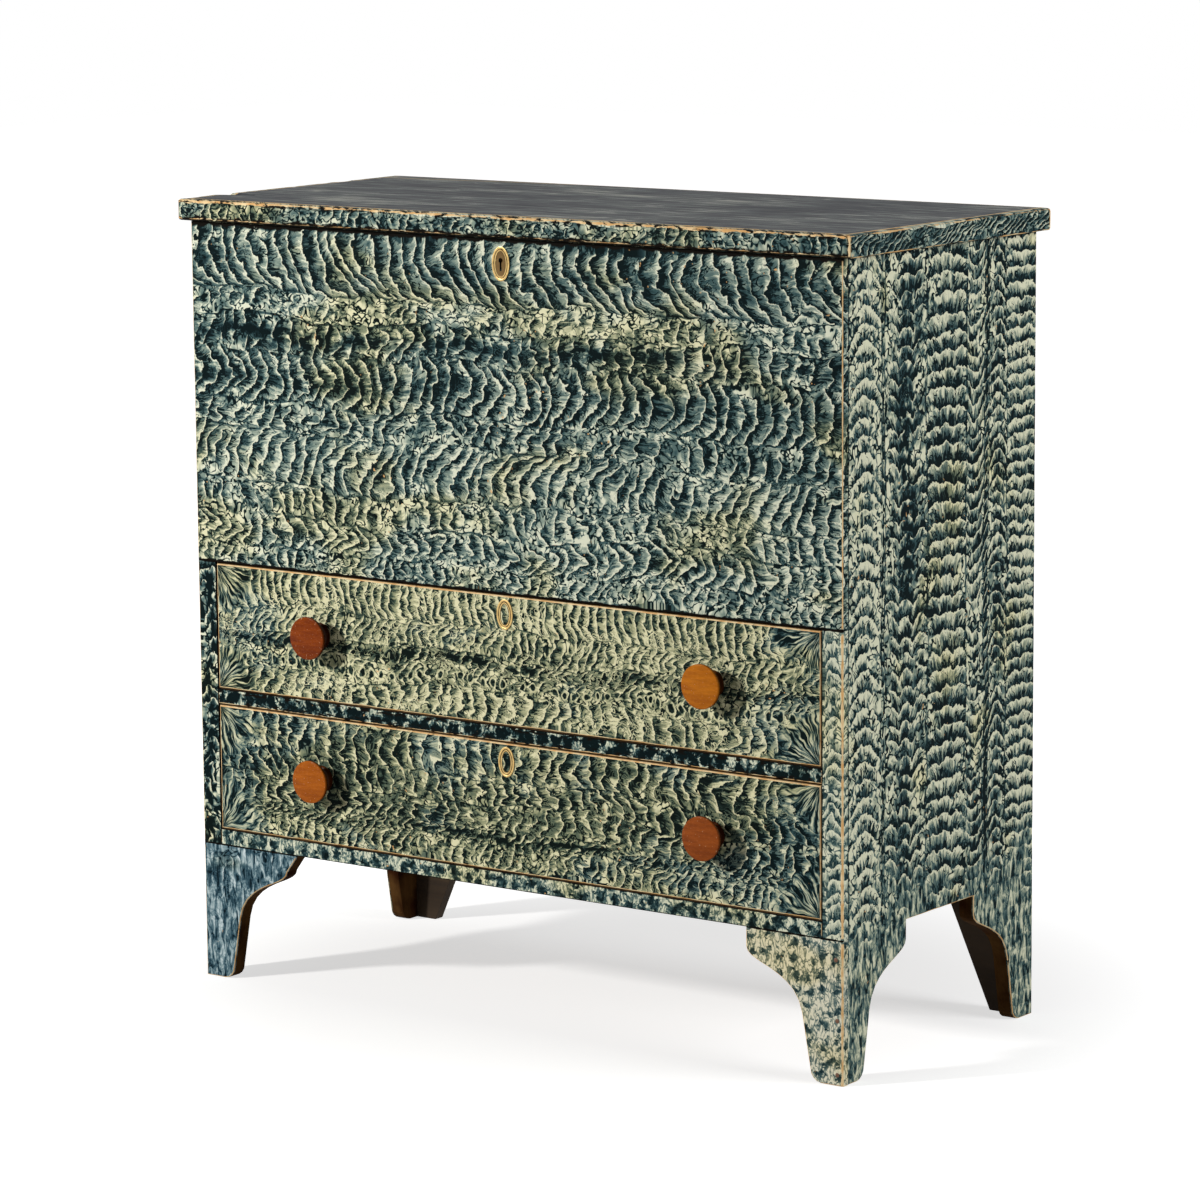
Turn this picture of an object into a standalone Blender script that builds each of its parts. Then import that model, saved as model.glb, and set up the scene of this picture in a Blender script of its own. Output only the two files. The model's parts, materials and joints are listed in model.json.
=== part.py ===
"""Painted blanket chest over two drawers, built as its separate boards, hardware and moving parts.

Metres, +Z up. The front faces -Y, and the origin is under the middle of the whole chest, on the floor.
"""
import math

import bmesh
import bpy

# Fits
FIT = 0.0003             # gap between pieces that touch
DRAWER_GAP = 0.0015      # round a drawer front, at its ends and under it
DRAWER_TOP_GAP = 0.0025  # over a drawer front, worn open
GUIDE_GAP = 0.001        # between a drawer side and its guide
LID_GAP = 0.0006         # between the closed lid and the case

# Case
CASE_W = 0.965
CASE_D = 0.418
SIDE_T = 0.020
FRONT_LAP = 0.011        # thickness of front boards where they lap over the sides' front edges
FRONT_REBATE = 0.009     # the rest of a front board's thickness, which stands between the sides
FRONT_BOARD_H = 0.424
STILE_TONGUE = 0.0085    # width of a stile beyond the side board it laps
RAIL_H = 0.020
DIVIDER_H = 0.0185
RAIL_D = 0.065
BACK_T = 0.015
BACK_REBATE = 0.010      # depth of the rebate in each side that takes the back boards' ends
BACK_BOARDS = 3
WELL_T = 0.015
WELL_RISE = 0.002        # well bottom above the front board's lower edge
DADO_D = 0.006

# Feet
FOOT_H = 0.172
FOOT_W = 0.135           # width of a bracket where its curve starts
FOOT_LIP = 0.023         # drop under the rail before the curve starts
FOOT_FLARE = 0.017       # how much wider the left front bracket is under the rail
ANKLE_W = 0.057
ANKLE_H = 0.080          # height where the curve ends and the foot tapers on
TOE_W = 0.0455
TOE_R = 0.0155           # rounded toe
TOE_STEPS = 4
REAR_TOP_W = 0.128       # width of a rear bracket, which slants in to its toe
REAR_TOE_W = 0.051
CURVE_STEPS = 10

# Drawers
DRAWER_H = 0.157
DRAWER_FRONT_T = 0.020
DRAWER_SIDE_T = 0.012
DRAWER_BACK_T = 0.012
DRAWER_BOTTOM_T = 0.007
DRAWER_SIDE_DROP = 0.006  # drawer sides below the top of the drawer front
DRAWER_REAR_ROOM = 0.008  # air behind a closed drawer
GROOVE_D = 0.005
GROOVE_RISE = 0.010       # drawer bottom above the drawer's lower edge
TAIL_LAP = 0.005          # wood left in front of the half-blind dovetails
TAILS = 3
TAIL_SHARE = 0.52         # a tail's share of its pitch, at its narrow end
TAIL_SLOPE = 0.14
RUNNER_W = 0.030
RUNNER_H = 0.018
GUIDE_H = 0.022
STOP_INSET = 0.2125       # middle of a stop from the drawer's end
STOP_W = 0.034
STOP_L = 0.022
STOP_H = 0.006

# Knobs and plates
KNOB_LEFT_INSET = 0.1655  # from the drawer's left end
KNOB_RIGHT_INSET = 0.1505
KNOB_RISE = 0.003         # above the middle of the drawer front
KNOB_R = 0.0265
KNOB_RIM = 0.004          # thickness of the rim
KNOB_DOME = 0.0025
KNOB_NECK_R = 0.0115
KNOB_NECK_L = 0.010
KNOB_COLLAR_R = 0.0165
KNOB_FLARE = 0.006        # length of the flare from the neck to the rim
KNOB_FOOT = 0.005         # length of the flare from the collar to the neck
TENON_R = 0.0085
ROUND_STEPS = 28
PLATE_W = 0.024
PLATE_H = 0.037
PLATE_DROP = 0.0225       # middle of a drawer's plate below the top of the drawer front
LOCK_PLATE_W = 0.026
LOCK_PLATE_H = 0.041
LOCK_PLATE_DROP = 0.0295  # middle of the lock's plate below the top of the case
PLATE_T = 0.0008
PLATE_BEAD = 0.0022       # width of the border, also of the hollow inside it and of the inner ring
PLATE_RELIEF = 0.0008
KEYHOLE_R = 0.0032
KEYHOLE_RISE = 0.0055     # round part above the middle of the plate
KEYHOLE_SLOT_W = 0.003
KEYHOLE_DROP = 0.006      # end of the slot below the middle of the plate

# Lid
LID_T = 0.027
LID_FRONT_OVER = 0.010
LID_SIDE_OVER = 0.0175
LID_BACK_OVER = 0.003
STRIP_W = 0.012
STRIP_ROUND = 0.004       # rounded outer edges of the strips
ARC_STEPS = 3

# Hinges
HINGE_INSET = 0.1825      # middle of a hinge from the case's end
LEAF_L = 0.060
LEAF_T = 0.002
LEAF_MARGIN = 0.002       # wood of the back board left in front of a leaf
BARREL_R = 0.0035
BARREL_SETBACK = 0.0005   # barrel clear of the back
KNUCKLES = 5
PIN_R = 0.0016
HINGE_ROUND_STEPS = 16

# Lock
LOCK_W = 0.076
LOCK_H = 0.045
LOCK_T = 0.011
LOCK_WINDOW = 0.006       # depth of the keyhole into the lock
HOOK_W = 0.013
HOOK_H = 0.015
HOOK_T = 0.003
HOOK_CLEAR = 0.0012
HOOK_BACK = 0.0045        # width of the hook's upright
STRIKE_L = 0.042
STRIKE_W = 0.009
STRIKE_T = 0.0015
BOLT_H = 0.005
BOLT_T = 0.0034
BOLT_L = 0.024
BOLT_DROP = 0.0085        # middle of the bolt below the top of the case
BOLT_NOTCH_GAP = 0.0008

# Heights, from the floor up
FRONT_T = FRONT_LAP + FRONT_REBATE
STILE_W = SIDE_T + STILE_TONGUE
LOWER_LEVEL = FOOT_H + RAIL_H
LOWER_TOP = LOWER_LEVEL + DRAWER_GAP + DRAWER_H
DIVIDER_Z = LOWER_TOP + DRAWER_TOP_GAP
UPPER_LEVEL = DIVIDER_Z + DIVIDER_H
UPPER_TOP = UPPER_LEVEL + DRAWER_GAP + DRAWER_H
FRONT_BOARD_Z = UPPER_TOP + DRAWER_TOP_GAP
CASE_H = FRONT_BOARD_Z + FRONT_BOARD_H
WELL_Z = FRONT_BOARD_Z + WELL_RISE
LID_Z = CASE_H + LID_GAP

# Depths: the box round the whole chest is centred on Y = 0
KNOB_REACH = FIT + KNOB_FOOT + KNOB_NECK_L + KNOB_FLARE + KNOB_RIM + KNOB_DOME
AXIS_SETBACK = BARREL_R + BARREL_SETBACK
FRONT_REACH = max(KNOB_REACH, LID_FRONT_OVER)
REAR_REACH = max(AXIS_SETBACK + BARREL_R, LID_BACK_OVER)
FRONT_Y = (FRONT_REACH - CASE_D - REAR_REACH) / 2
BACK_Y = FRONT_Y + CASE_D
INNER_BACK_Y = BACK_Y - BACK_T
AXIS_Y = BACK_Y + AXIS_SETBACK
AXIS_Z = CASE_H + LID_GAP / 2
LOCK_Y = FRONT_Y + FRONT_T - LOCK_T / 2

# Widths, from the middle out
INNER_X = CASE_W / 2 - SIDE_T
OPENING_X = CASE_W / 2 - STILE_W
DRAWER_X = OPENING_X - DRAWER_GAP
BACK_END_X = INNER_X + BACK_REBATE - FIT
KNOB_LEFT_X = KNOB_LEFT_INSET - DRAWER_X
KNOB_RIGHT_X = DRAWER_X - KNOB_RIGHT_INSET
STOP_X = DRAWER_X - STOP_INSET
HINGE_X = CASE_W / 2 - HINGE_INSET
GUIDE_T = STILE_TONGUE + DRAWER_GAP - GUIDE_GAP
HOOK_LEFT = -HOOK_W / 2
SIDES = {"left": -1, "right": 1}
PAST = 0.01              # how far a cutter runs past the face it opens

PAINT = ("grain_paint", (0.20, 0.25, 0.22), 0.45, 0.0)
TOP_PAINT = ("lid_paint", (0.07, 0.075, 0.08), 0.5, 0.0)
PINE = ("bare_pine", (0.38, 0.23, 0.11), 0.7, 0.0)
MAHOGANY = ("knob_wood", (0.33, 0.10, 0.025), 0.3, 0.0)
BRASS = ("brass", (0.68, 0.47, 0.16), 0.35, 1.0)
IRON = ("iron", (0.12, 0.11, 0.10), 0.55, 1.0)


def clear_scene():
    for obj in list(bpy.data.objects):
        bpy.data.objects.remove(obj, do_unlink=True)


def finish_material(finish):
    """The Principled material of one finish, made once."""
    name, colour, roughness, metallic = finish
    mat = bpy.data.materials.get(name)
    if mat is None:
        mat = bpy.data.materials.new(name)
        mat.use_nodes = True
        shader = mat.node_tree.nodes["Principled BSDF"]
        shader.inputs["Base Color"].default_value = (*colour, 1.0)
        shader.inputs["Roughness"].default_value = roughness
        shader.inputs["Metallic"].default_value = metallic
    return mat


def solid(name, bm):
    """Turn a bmesh into a linked object with its faces pointing out."""
    bmesh.ops.recalc_face_normals(bm, faces=bm.faces)
    mesh = bpy.data.meshes.new(name)
    bm.to_mesh(mesh)
    bm.free()
    obj = bpy.data.objects.new(name, mesh)
    bpy.context.scene.collection.objects.link(obj)
    return obj


def loft(name, rings):
    """A closed solid through rings of points, capped at both ends. A ring of one point is a pole."""
    bm = bmesh.new()
    rows = [[bm.verts.new(point) for point in ring] for ring in rings]
    for low, high in zip(rows, rows[1:]):
        count = max(len(low), len(high))
        for i in range(count):
            j = (i + 1) % count
            corners = [low[i % len(low)], low[j % len(low)], high[j % len(high)], high[i % len(high)]]
            bm.faces.new(list(dict.fromkeys(corners)))
    for row in (rows[0], rows[-1]):
        if len(row) > 2:
            bm.faces.new(row)
    return solid(name, bm)


def prism(name, outline, axis, low, high):
    """Extrude an outline along an axis. Its two numbers lie along the other two axes, in X, Y, Z order."""
    def point(u, v, w):
        return {"X": (w, u, v), "Y": (u, w, v), "Z": (u, v, w)}[axis]
    return loft(name, [[point(u, v, w) for u, v in outline] for w in (low, high)])


def box(name, x, y, z):
    """A box from three (low, high) pairs, in either order."""
    (x0, x1), (y0, y1), (z0, z1) = sorted(x), sorted(y), sorted(z)
    return prism(name, [(x0, y0), (x1, y0), (x1, y1), (x0, y1)], "Z", z0, z1)


def circle(radius, u, v, steps):
    turn = [2 * math.pi * i / steps for i in range(steps)]
    return [(u + radius * math.cos(a), v + radius * math.sin(a)) for a in turn]


def rod(name, radius, x, y, z, steps=HINGE_ROUND_STEPS):
    """A round rod along X between the two numbers of x."""
    return prism(name, circle(radius, y, z, steps), "X", min(x), max(x))


def combine(obj, tool, operation):
    """Apply a Boolean with a tool object, which is then removed."""
    change = obj.modifiers.new("change", "BOOLEAN")
    change.operation = operation
    change.solver = "EXACT"
    change.object = tool
    bpy.context.view_layer.update()
    graph = bpy.context.evaluated_depsgraph_get()
    mesh = bpy.data.meshes.new_from_object(obj.evaluated_get(graph))
    obj.modifiers.remove(change)
    obj.data = mesh
    bpy.data.objects.remove(tool, do_unlink=True)


def cut(obj, *tools):
    for tool in tools:
        combine(obj, tool, "DIFFERENCE")


def join(obj, *tools):
    for tool in tools:
        combine(obj, tool, "UNION")


def axis_empty(name, x, y, z):
    empty = bpy.data.objects.new(name, None)
    empty.empty_display_size = 0.02
    empty.location = (x, y, z)
    bpy.context.scene.collection.objects.link(empty)
    return empty


def finish(obj, look, carrier=None):
    """Give a piece its material and, if it moves, hang it on the empty on its joint's axis."""
    obj.data.materials.clear()
    obj.data.materials.append(finish_material(look))
    if carrier is not None:
        for vertex in obj.data.vertices:
            vertex.co -= carrier.location
        obj.parent = carrier
    return obj


def smooth(obj):
    obj.data.shade_smooth()
    obj.data.set_sharp_from_angle(angle=math.radians(40))


def mirrored(outline, sign):
    return [(sign * u, v) for u, v in outline]


def foot_curve(flare=0.0):
    """One bracket's inner edge, from the rail down to the floor, as (width from the corner, height)."""
    top = FOOT_H - FOOT_LIP
    drop = top - ANKLE_H
    lean = (ANKLE_W - TOE_W) / (ANKLE_H - TOE_R)
    handles = [(FOOT_W, top), (FOOT_W, top - 0.30 * drop),
               (ANKLE_W + 0.74 * drop * lean, ANKLE_H + 0.74 * drop), (ANKLE_W, ANKLE_H)]
    points = [(FOOT_W + flare, FOOT_H)]
    for i in range(CURVE_STEPS + 1):
        t = i / CURVE_STEPS
        share = ((1 - t) ** 3, 3 * t * (1 - t) ** 2, 3 * t * t * (1 - t), t ** 3)
        points.append(tuple(sum(s * handle[k] for s, handle in zip(share, handles)) for k in (0, 1)))
    turn = [math.pi / 2 * i / TOE_STEPS for i in range(TOE_STEPS + 1)]
    return points + [(TOE_W - TOE_R * (1 - math.cos(a)), TOE_R * (1 - math.sin(a))) for a in turn]


def side_board(name, sign):
    curve = foot_curve()
    front = FRONT_Y + FRONT_LAP + FIT
    outline = [(front, CASE_H), (front, 0.0)]
    outline += [(FRONT_Y + w, z) for w, z in reversed(curve)]
    outline += [(BACK_Y - w, z) for w, z in curve]
    outline += [(BACK_Y, 0.0), (BACK_Y, CASE_H)]
    board = prism(name, outline, "X", *sorted((sign * INNER_X, sign * CASE_W / 2)))
    rebate = box("rebate", (sign * (INNER_X - PAST), sign * (INNER_X + BACK_REBATE)),
                 (INNER_BACK_Y - FIT, BACK_Y + PAST), (-PAST, CASE_H + PAST))
    dado = box("dado", (sign * (INNER_X - PAST), sign * (INNER_X + DADO_D)),
               (FRONT_Y + FRONT_T, BACK_Y - BACK_T / 2), (WELL_Z - FIT, WELL_Z + WELL_T + FIT))
    cut(board, rebate, dado)
    return finish(board, PAINT)


def keyhole(name, middle_z, low_y, high_y, grow=0.0):
    """A cutter for a keyhole: a round hole with a slot below it."""
    radius = KEYHOLE_R + grow
    half = KEYHOLE_SLOT_W / 2 + grow
    centre = middle_z + KEYHOLE_RISE
    start = math.asin(half / radius) - math.pi / 2
    turn = [start + (math.pi - 2 * start) * i / ROUND_STEPS for i in range(ROUND_STEPS + 1)]
    outline = [(radius * math.cos(a), centre + radius * math.sin(a)) for a in turn]
    end = middle_z - KEYHOLE_DROP - grow
    return prism(name, outline + [(-half, end), (half, end)], "Y", low_y, high_y)


def front_board():
    inner = INNER_X - FIT
    lap = FRONT_Y + FRONT_LAP
    right = [(CASE_W / 2, FRONT_Y), (CASE_W / 2, lap), (inner, lap), (inner, FRONT_Y + FRONT_T)]
    outline = right + mirrored(reversed(right), -1)
    board = prism("front_board", outline, "Z", FRONT_BOARD_Z, CASE_H)
    pocket_y = FRONT_Y + FRONT_T - LOCK_T - FIT
    pocket = box("pocket", (-LOCK_W / 2 - FIT, LOCK_W / 2 + FIT), (pocket_y, FRONT_Y + FRONT_T + PAST),
                 (CASE_H - LOCK_H - FIT, CASE_H + PAST))
    hole = keyhole("hole", CASE_H - LOCK_PLATE_DROP, FRONT_Y - PAST, pocket_y + PAST / 2, grow=FIT)
    cut(board, pocket, hole)
    return finish(board, PAINT)


def stile(name, sign):
    inner = INNER_X - FIT
    lap = FRONT_Y + FRONT_LAP
    back = FRONT_Y + FRONT_T
    outline = [(CASE_W / 2, FRONT_Y), (CASE_W / 2, lap), (inner, lap), (inner, back), (OPENING_X, back),
               (OPENING_X, FRONT_Y)]
    return finish(prism(name, mirrored(outline, sign), "Z", FOOT_H, FRONT_BOARD_Z - FIT), PAINT)


def rail(name, low, high):
    """A rail between the stiles that widens behind them to reach the side boards."""
    step = FRONT_Y + FRONT_T + FIT
    right = [(OPENING_X - FIT, FRONT_Y), (OPENING_X - FIT, step), (INNER_X - FIT, step),
             (INNER_X - FIT, FRONT_Y + RAIL_D)]
    return finish(prism(name, right + mirrored(reversed(right), -1), "Z", low, high), PAINT)


def front_foot(name, sign, flare=0.0):
    corner = CASE_W / 2
    top = FOOT_H - FIT
    outline = [(corner, 0.0), (corner, top), (corner - FOOT_W - flare, top)]
    outline += [(corner - w, z) for w, z in foot_curve(flare)[1:]]
    foot = prism(name, mirrored(outline, sign), "Y", FRONT_Y, FRONT_Y + FRONT_T)
    rebate = box("rebate", (sign * (INNER_X - FIT), sign * (corner + PAST)),
                 (FRONT_Y + FRONT_LAP, FRONT_Y + FRONT_T + PAST), (-PAST, FOOT_H + PAST))
    cut(foot, rebate)
    return finish(foot, PAINT)


def rear_bracket(name, sign):
    top = FOOT_H - FIT
    outline = [(BACK_END_X, 0.0), (BACK_END_X, top), (CASE_W / 2 - REAR_TOP_W, top),
               (CASE_W / 2 - REAR_TOE_W, 0.0)]
    return finish(prism(name, mirrored(outline, sign), "Y", INNER_BACK_Y, BACK_Y), PINE)


def back_boards():
    pitch = (CASE_H - FOOT_H) / BACK_BOARDS
    boards = []
    for i, place in enumerate(("lower", "middle", "upper")[:BACK_BOARDS]):
        low = FOOT_H + i * pitch
        boards.append(box(f"{place}_back_board", (-BACK_END_X, BACK_END_X), (INNER_BACK_Y, BACK_Y),
                          (low, low + pitch - (FIT if i < BACK_BOARDS - 1 else 0.0))))
    for x in (-HINGE_X, HINGE_X):
        cut(boards[-1], box("mortise", (x - LEAF_L / 2 - FIT, x + LEAF_L / 2 + FIT),
                            (INNER_BACK_Y + LEAF_MARGIN - FIT, BACK_Y + PAST),
                            (CASE_H - LEAF_T - FIT, CASE_H + PAST)))
    for board in boards:
        finish(board, PINE)


def well_bottom():
    end = INNER_X + DADO_D - FIT
    finish(box("well_bottom", (-end, end), (FRONT_Y + FRONT_T + FIT, INNER_BACK_Y - FIT),
               (WELL_Z, WELL_Z + WELL_T)), PINE)


def drawer_track(place, level):
    """The runners and guides of one drawer, on the side boards, and its stops on the rail in front."""
    run = (FRONT_Y + RAIL_D + FIT, INNER_BACK_Y - FIT)
    wall = INNER_X - FIT
    stop_y = FRONT_Y + DRAWER_FRONT_T + FIT
    for hand, sign in SIDES.items():
        finish(box(f"{place}_{hand}_runner", (sign * wall, sign * (wall - RUNNER_W)), run,
                   (level - RUNNER_H, level)), PINE)
        finish(box(f"{place}_{hand}_guide", (sign * wall, sign * (wall - GUIDE_T + FIT)), run,
                   (level + FIT, level + FIT + GUIDE_H)), PINE)
        finish(box(f"{place}_{hand}_stop", (sign * STOP_X - STOP_W / 2, sign * STOP_X + STOP_W / 2),
                   (stop_y, stop_y + STOP_L), (level + FIT, level + FIT + STOP_H)), PINE)


def tail_places(low, high):
    """The middle height and half height of each dovetail's narrow end between two heights."""
    pitch = (high - low) / TAILS
    return [(low + (i + 0.5) * pitch, TAIL_SHARE * pitch / 2) for i in range(TAILS)]


def tails(low, high, base, end):
    """Outline points of a row of dovetails, going up, from their narrow base to their wide end."""
    spread = TAIL_SLOPE * abs(end - base)
    points = []
    for middle, half in tail_places(low, high):
        points += [(base, middle - half), (end, middle - half - spread), (end, middle + half + spread),
                   (base, middle + half)]
    return points


def cut_sockets(board, sign, low, high, base, end):
    """Cut the sockets that take one drawer side's dovetails, a fit wider all round."""
    direction = 1 if end > base else -1
    mouth = base - direction * PAST
    floor = end + direction * FIT
    for middle, half in tail_places(low, high):
        narrow = half - TAIL_SLOPE * abs(base - mouth) + FIT
        wide = half + TAIL_SLOPE * abs(floor - base) + FIT
        outline = [(mouth, middle - narrow), (floor, middle - wide), (floor, middle + wide),
                   (mouth, middle + narrow)]
        span = sorted((sign * (DRAWER_X - DRAWER_SIDE_T - FIT), sign * (DRAWER_X + PAST)))
        cut(board, prism("socket", outline, "X", *span))


def drawer(place, level, carrier):
    """One drawer: dovetailed front, sides and back, a bottom in grooves, two knobs and a blind plate."""
    name = f"{place}_drawer"
    front_low = level + DRAWER_GAP
    front_high = front_low + DRAWER_H
    low = level + FIT
    high = front_high - DRAWER_SIDE_DROP
    panel_low = low + GROOVE_RISE
    panel_high = panel_low + DRAWER_BOTTOM_T
    back_low = panel_high + FIT
    front_back_y = FRONT_Y + DRAWER_FRONT_T
    rear = INNER_BACK_Y - DRAWER_REAR_ROOM
    rear_base = rear - DRAWER_BACK_T
    blind = FRONT_Y + TAIL_LAP
    inner = DRAWER_X - DRAWER_SIDE_T
    groove_z = (panel_low - FIT, panel_high + FIT)
    groove_y = front_back_y - GROOVE_D

    front = box(f"{name}_front", (-DRAWER_X, DRAWER_X), (FRONT_Y, front_back_y), (front_low, front_high))
    cut(front, box("groove", (-inner - GROOVE_D, inner + GROOVE_D), (groove_y, front_back_y + PAST),
                   groove_z))
    back = box(f"{name}_back", (-DRAWER_X, DRAWER_X), (rear_base, rear), (back_low, high))
    knob_z = (front_low + front_high) / 2 + KNOB_RISE
    for x in (KNOB_LEFT_X, KNOB_RIGHT_X):
        hole = circle(TENON_R + FIT, x, knob_z, ROUND_STEPS)
        cut(front, prism("hole", hole, "Y", FRONT_Y - PAST, front_back_y + PAST))
    for hand, sign in SIDES.items():
        outline = [(rear, low), (rear, back_low - FIT)]
        outline += [(rear_base - FIT, back_low - FIT)] + tails(back_low, high, rear_base - FIT, rear)
        outline += [(rear_base - FIT, high), (front_back_y + FIT, high)]
        outline += list(reversed(tails(front_low, high, front_back_y + FIT, blind)))
        outline += [(front_back_y + FIT, low)]
        side = prism(f"{name}_{hand}_side", outline, "X", *sorted((sign * inner, sign * DRAWER_X)))
        cut(side, box("groove", (sign * (inner - PAST), sign * (inner + GROOVE_D)), (groove_y, rear + PAST),
                      groove_z))
        cut_sockets(front, sign, front_low, high, front_back_y + FIT, blind)
        cut_sockets(back, sign, back_low, high, rear_base - FIT, rear + PAST)
        finish(side, PINE, carrier)
    finish(front, PAINT, carrier)
    finish(back, PINE, carrier)
    panel_x = inner + GROOVE_D - FIT
    finish(box(f"{name}_bottom", (-panel_x, panel_x), (groove_y + FIT, rear - FIT), (panel_low, panel_high)),
           PINE, carrier)
    for hand, x in (("left", KNOB_LEFT_X), ("right", KNOB_RIGHT_X)):
        finish(knob(f"{name}_{hand}_knob", x, knob_z), MAHOGANY, carrier)
    finish(oval_plate(f"{name}_plate", PLATE_W, PLATE_H, front_high - PLATE_DROP), BRASS, carrier)


def knob(name, x, z):
    """A turned knob: domed disc, flared neck and collar, and a tenon through the drawer front."""
    seat = -FIT
    waist = seat - KNOB_FOOT
    shoulder = waist - KNOB_NECK_L
    under = shoulder - KNOB_FLARE
    rim = under - KNOB_RIM
    profile = [(0.0, DRAWER_FRONT_T), (TENON_R, DRAWER_FRONT_T), (TENON_R, seat), (KNOB_COLLAR_R, seat),
               (KNOB_COLLAR_R, seat - KNOB_FOOT / 3), (KNOB_NECK_R, waist), (KNOB_NECK_R, shoulder),
               ((KNOB_NECK_R + KNOB_R) / 2, shoulder - KNOB_FLARE * 0.3), (KNOB_R, under), (KNOB_R, rim),
               (KNOB_R * 0.9, rim - KNOB_DOME * 0.5), (KNOB_R * 0.55, rim - KNOB_DOME * 0.85),
               (0.0, rim - KNOB_DOME)]
    rings = []
    for radius, offset in profile:
        ring = circle(radius, x, z, ROUND_STEPS) if radius else [(x, z)]
        rings.append([(u, FRONT_Y + offset, v) for u, v in ring])
    piece = loft(name, rings)
    smooth(piece)
    return piece


def oval_plate(name, width, height, z, pierced=False):
    """A pressed oval plate with a raised border, a hollow and a raised inner ring round its middle."""
    low, high = PLATE_T, PLATE_T + PLATE_RELIEF
    steps = [(0.0, 0.0), (0.0, low), (PLATE_BEAD * 0.3, high), (PLATE_BEAD * 0.7, high), (PLATE_BEAD, low),
             (2 * PLATE_BEAD, low), (2.4 * PLATE_BEAD, high), (2.7 * PLATE_BEAD, high), (3 * PLATE_BEAD, low)]
    rings = []
    for inset, depth in steps:
        half_w, half_h = width / 2 - inset, height / 2 - inset
        ring = circle(1.0, 0.0, 0.0, ROUND_STEPS)
        rings.append([(half_w * u, FRONT_Y - FIT - depth, z + half_h * v) for u, v in ring])
    plate = loft(name, rings)
    if pierced:
        cut(plate, keyhole("hole", z, FRONT_Y - PAST, FRONT_Y + PAST))
    return plate


def lid_strip(name, ends, run_axis):
    """A lid edge strip with rounded outer edges, mitred at the ends that meet another strip.

    Each end gives, for a point that stands out by d from the lid board, where the strip stops along its run.
    """
    low, high = LID_Z, LID_Z + LID_T
    arc = [math.pi / 2 * i / ARC_STEPS for i in range(ARC_STEPS + 1)]
    out = STRIP_W - STRIP_ROUND
    section = [(FIT, low)]
    section += [(out + STRIP_ROUND * math.sin(a), low + STRIP_ROUND * (1 - math.cos(a))) for a in arc]
    section += [(out + STRIP_ROUND * math.cos(a), high - STRIP_ROUND * (1 - math.sin(a))) for a in arc]
    section += [(FIT, high)]
    return loft(name, [[run_axis(d, end(d), z) for d, z in section] for end in ends])


def lid(carrier):
    edge_x = CASE_W / 2 + LID_SIDE_OVER - STRIP_W
    edge_y = FRONT_Y - LID_FRONT_OVER + STRIP_W
    rear = BACK_Y + LID_BACK_OVER
    board = box("lid_board", (-edge_x, edge_x), (edge_y, rear), (LID_Z, LID_Z + LID_T))
    for x in (-HINGE_X, HINGE_X):
        span = (x - LEAF_L / 2 - FIT, x + LEAF_L / 2 + FIT)
        leaf_room = box("leaf_room", span, (INNER_BACK_Y + LEAF_MARGIN - FIT, rear + PAST),
                        (LID_Z - PAST, LID_Z + LEAF_T + FIT))
        barrel_room = box("barrel_room", span, (AXIS_Y - BARREL_R - BARREL_SETBACK, rear + PAST),
                          (LID_Z - PAST, AXIS_Z + BARREL_R + BARREL_SETBACK))
        cut(board, leaf_room, barrel_room)
    cut(board, box("strike_room", (-STRIKE_L / 2 - FIT, STRIKE_L / 2 + FIT),
                   (LOCK_Y - STRIKE_W / 2 - FIT, LOCK_Y + STRIKE_W / 2 + FIT),
                   (LID_Z - PAST, LID_Z + STRIKE_T + FIT)))
    finish(board, TOP_PAINT, carrier)

    mitre = FIT / 2
    front = lid_strip("lid_front_strip", (lambda d: -edge_x - d + mitre, lambda d: edge_x + d - mitre),
                      lambda d, run, z: (run, edge_y - d, z))
    finish(front, PAINT, carrier)
    for hand, sign in SIDES.items():
        strip = lid_strip(f"lid_{hand}_strip", (lambda d: edge_y - d + mitre, lambda d: rear),
                          lambda d, run, z, sign=sign: (sign * (edge_x + d), run, z))
        finish(strip, PAINT, carrier)


def hinge_leaf(name, x, z, own):
    """A hinge leaf with its own knuckles: a comb-shaped plate, barrels joined on, bored for the pin."""
    pitch = LEAF_L / KNUCKLES
    start = x - LEAF_L / 2
    plate_rear = AXIS_Y - BARREL_R - BARREL_SETBACK
    spans = [(start + i * pitch + FIT / 2, start + (i + 1) * pitch - FIT / 2) for i in own]
    outline = [(start, INNER_BACK_Y + LEAF_MARGIN), (start + LEAF_L, INNER_BACK_Y + LEAF_MARGIN),
               (start + LEAF_L, plate_rear)]
    for low, high in reversed(spans):
        outline += [(high, plate_rear), (high, AXIS_Y), (low, AXIS_Y), (low, plate_rear)]
    leaf = prism(name, outline + [(start, plate_rear)], "Z", *z)
    join(leaf, *[rod("barrel", BARREL_R, span, AXIS_Y, AXIS_Z) for span in spans])
    cut(leaf, rod("bore", PIN_R + FIT, (start - PAST, start + LEAF_L + PAST), AXIS_Y, AXIS_Z))
    return leaf


def hinges(carrier):
    for hand, sign in SIDES.items():
        x = sign * HINGE_X
        case_leaf = hinge_leaf(f"{hand}_hinge_case_leaf", x, (CASE_H - LEAF_T, CASE_H), range(0, KNUCKLES, 2))
        lid_leaf = hinge_leaf(f"{hand}_hinge_lid_leaf", x, (LID_Z, LID_Z + LEAF_T), range(1, KNUCKLES, 2))
        pin = rod(f"{hand}_hinge_pin", PIN_R, (x - LEAF_L / 2, x + LEAF_L / 2), AXIS_Y, AXIS_Z)
        finish(case_leaf, IRON)
        finish(pin, IRON)
        finish(lid_leaf, IRON, carrier)


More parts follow.
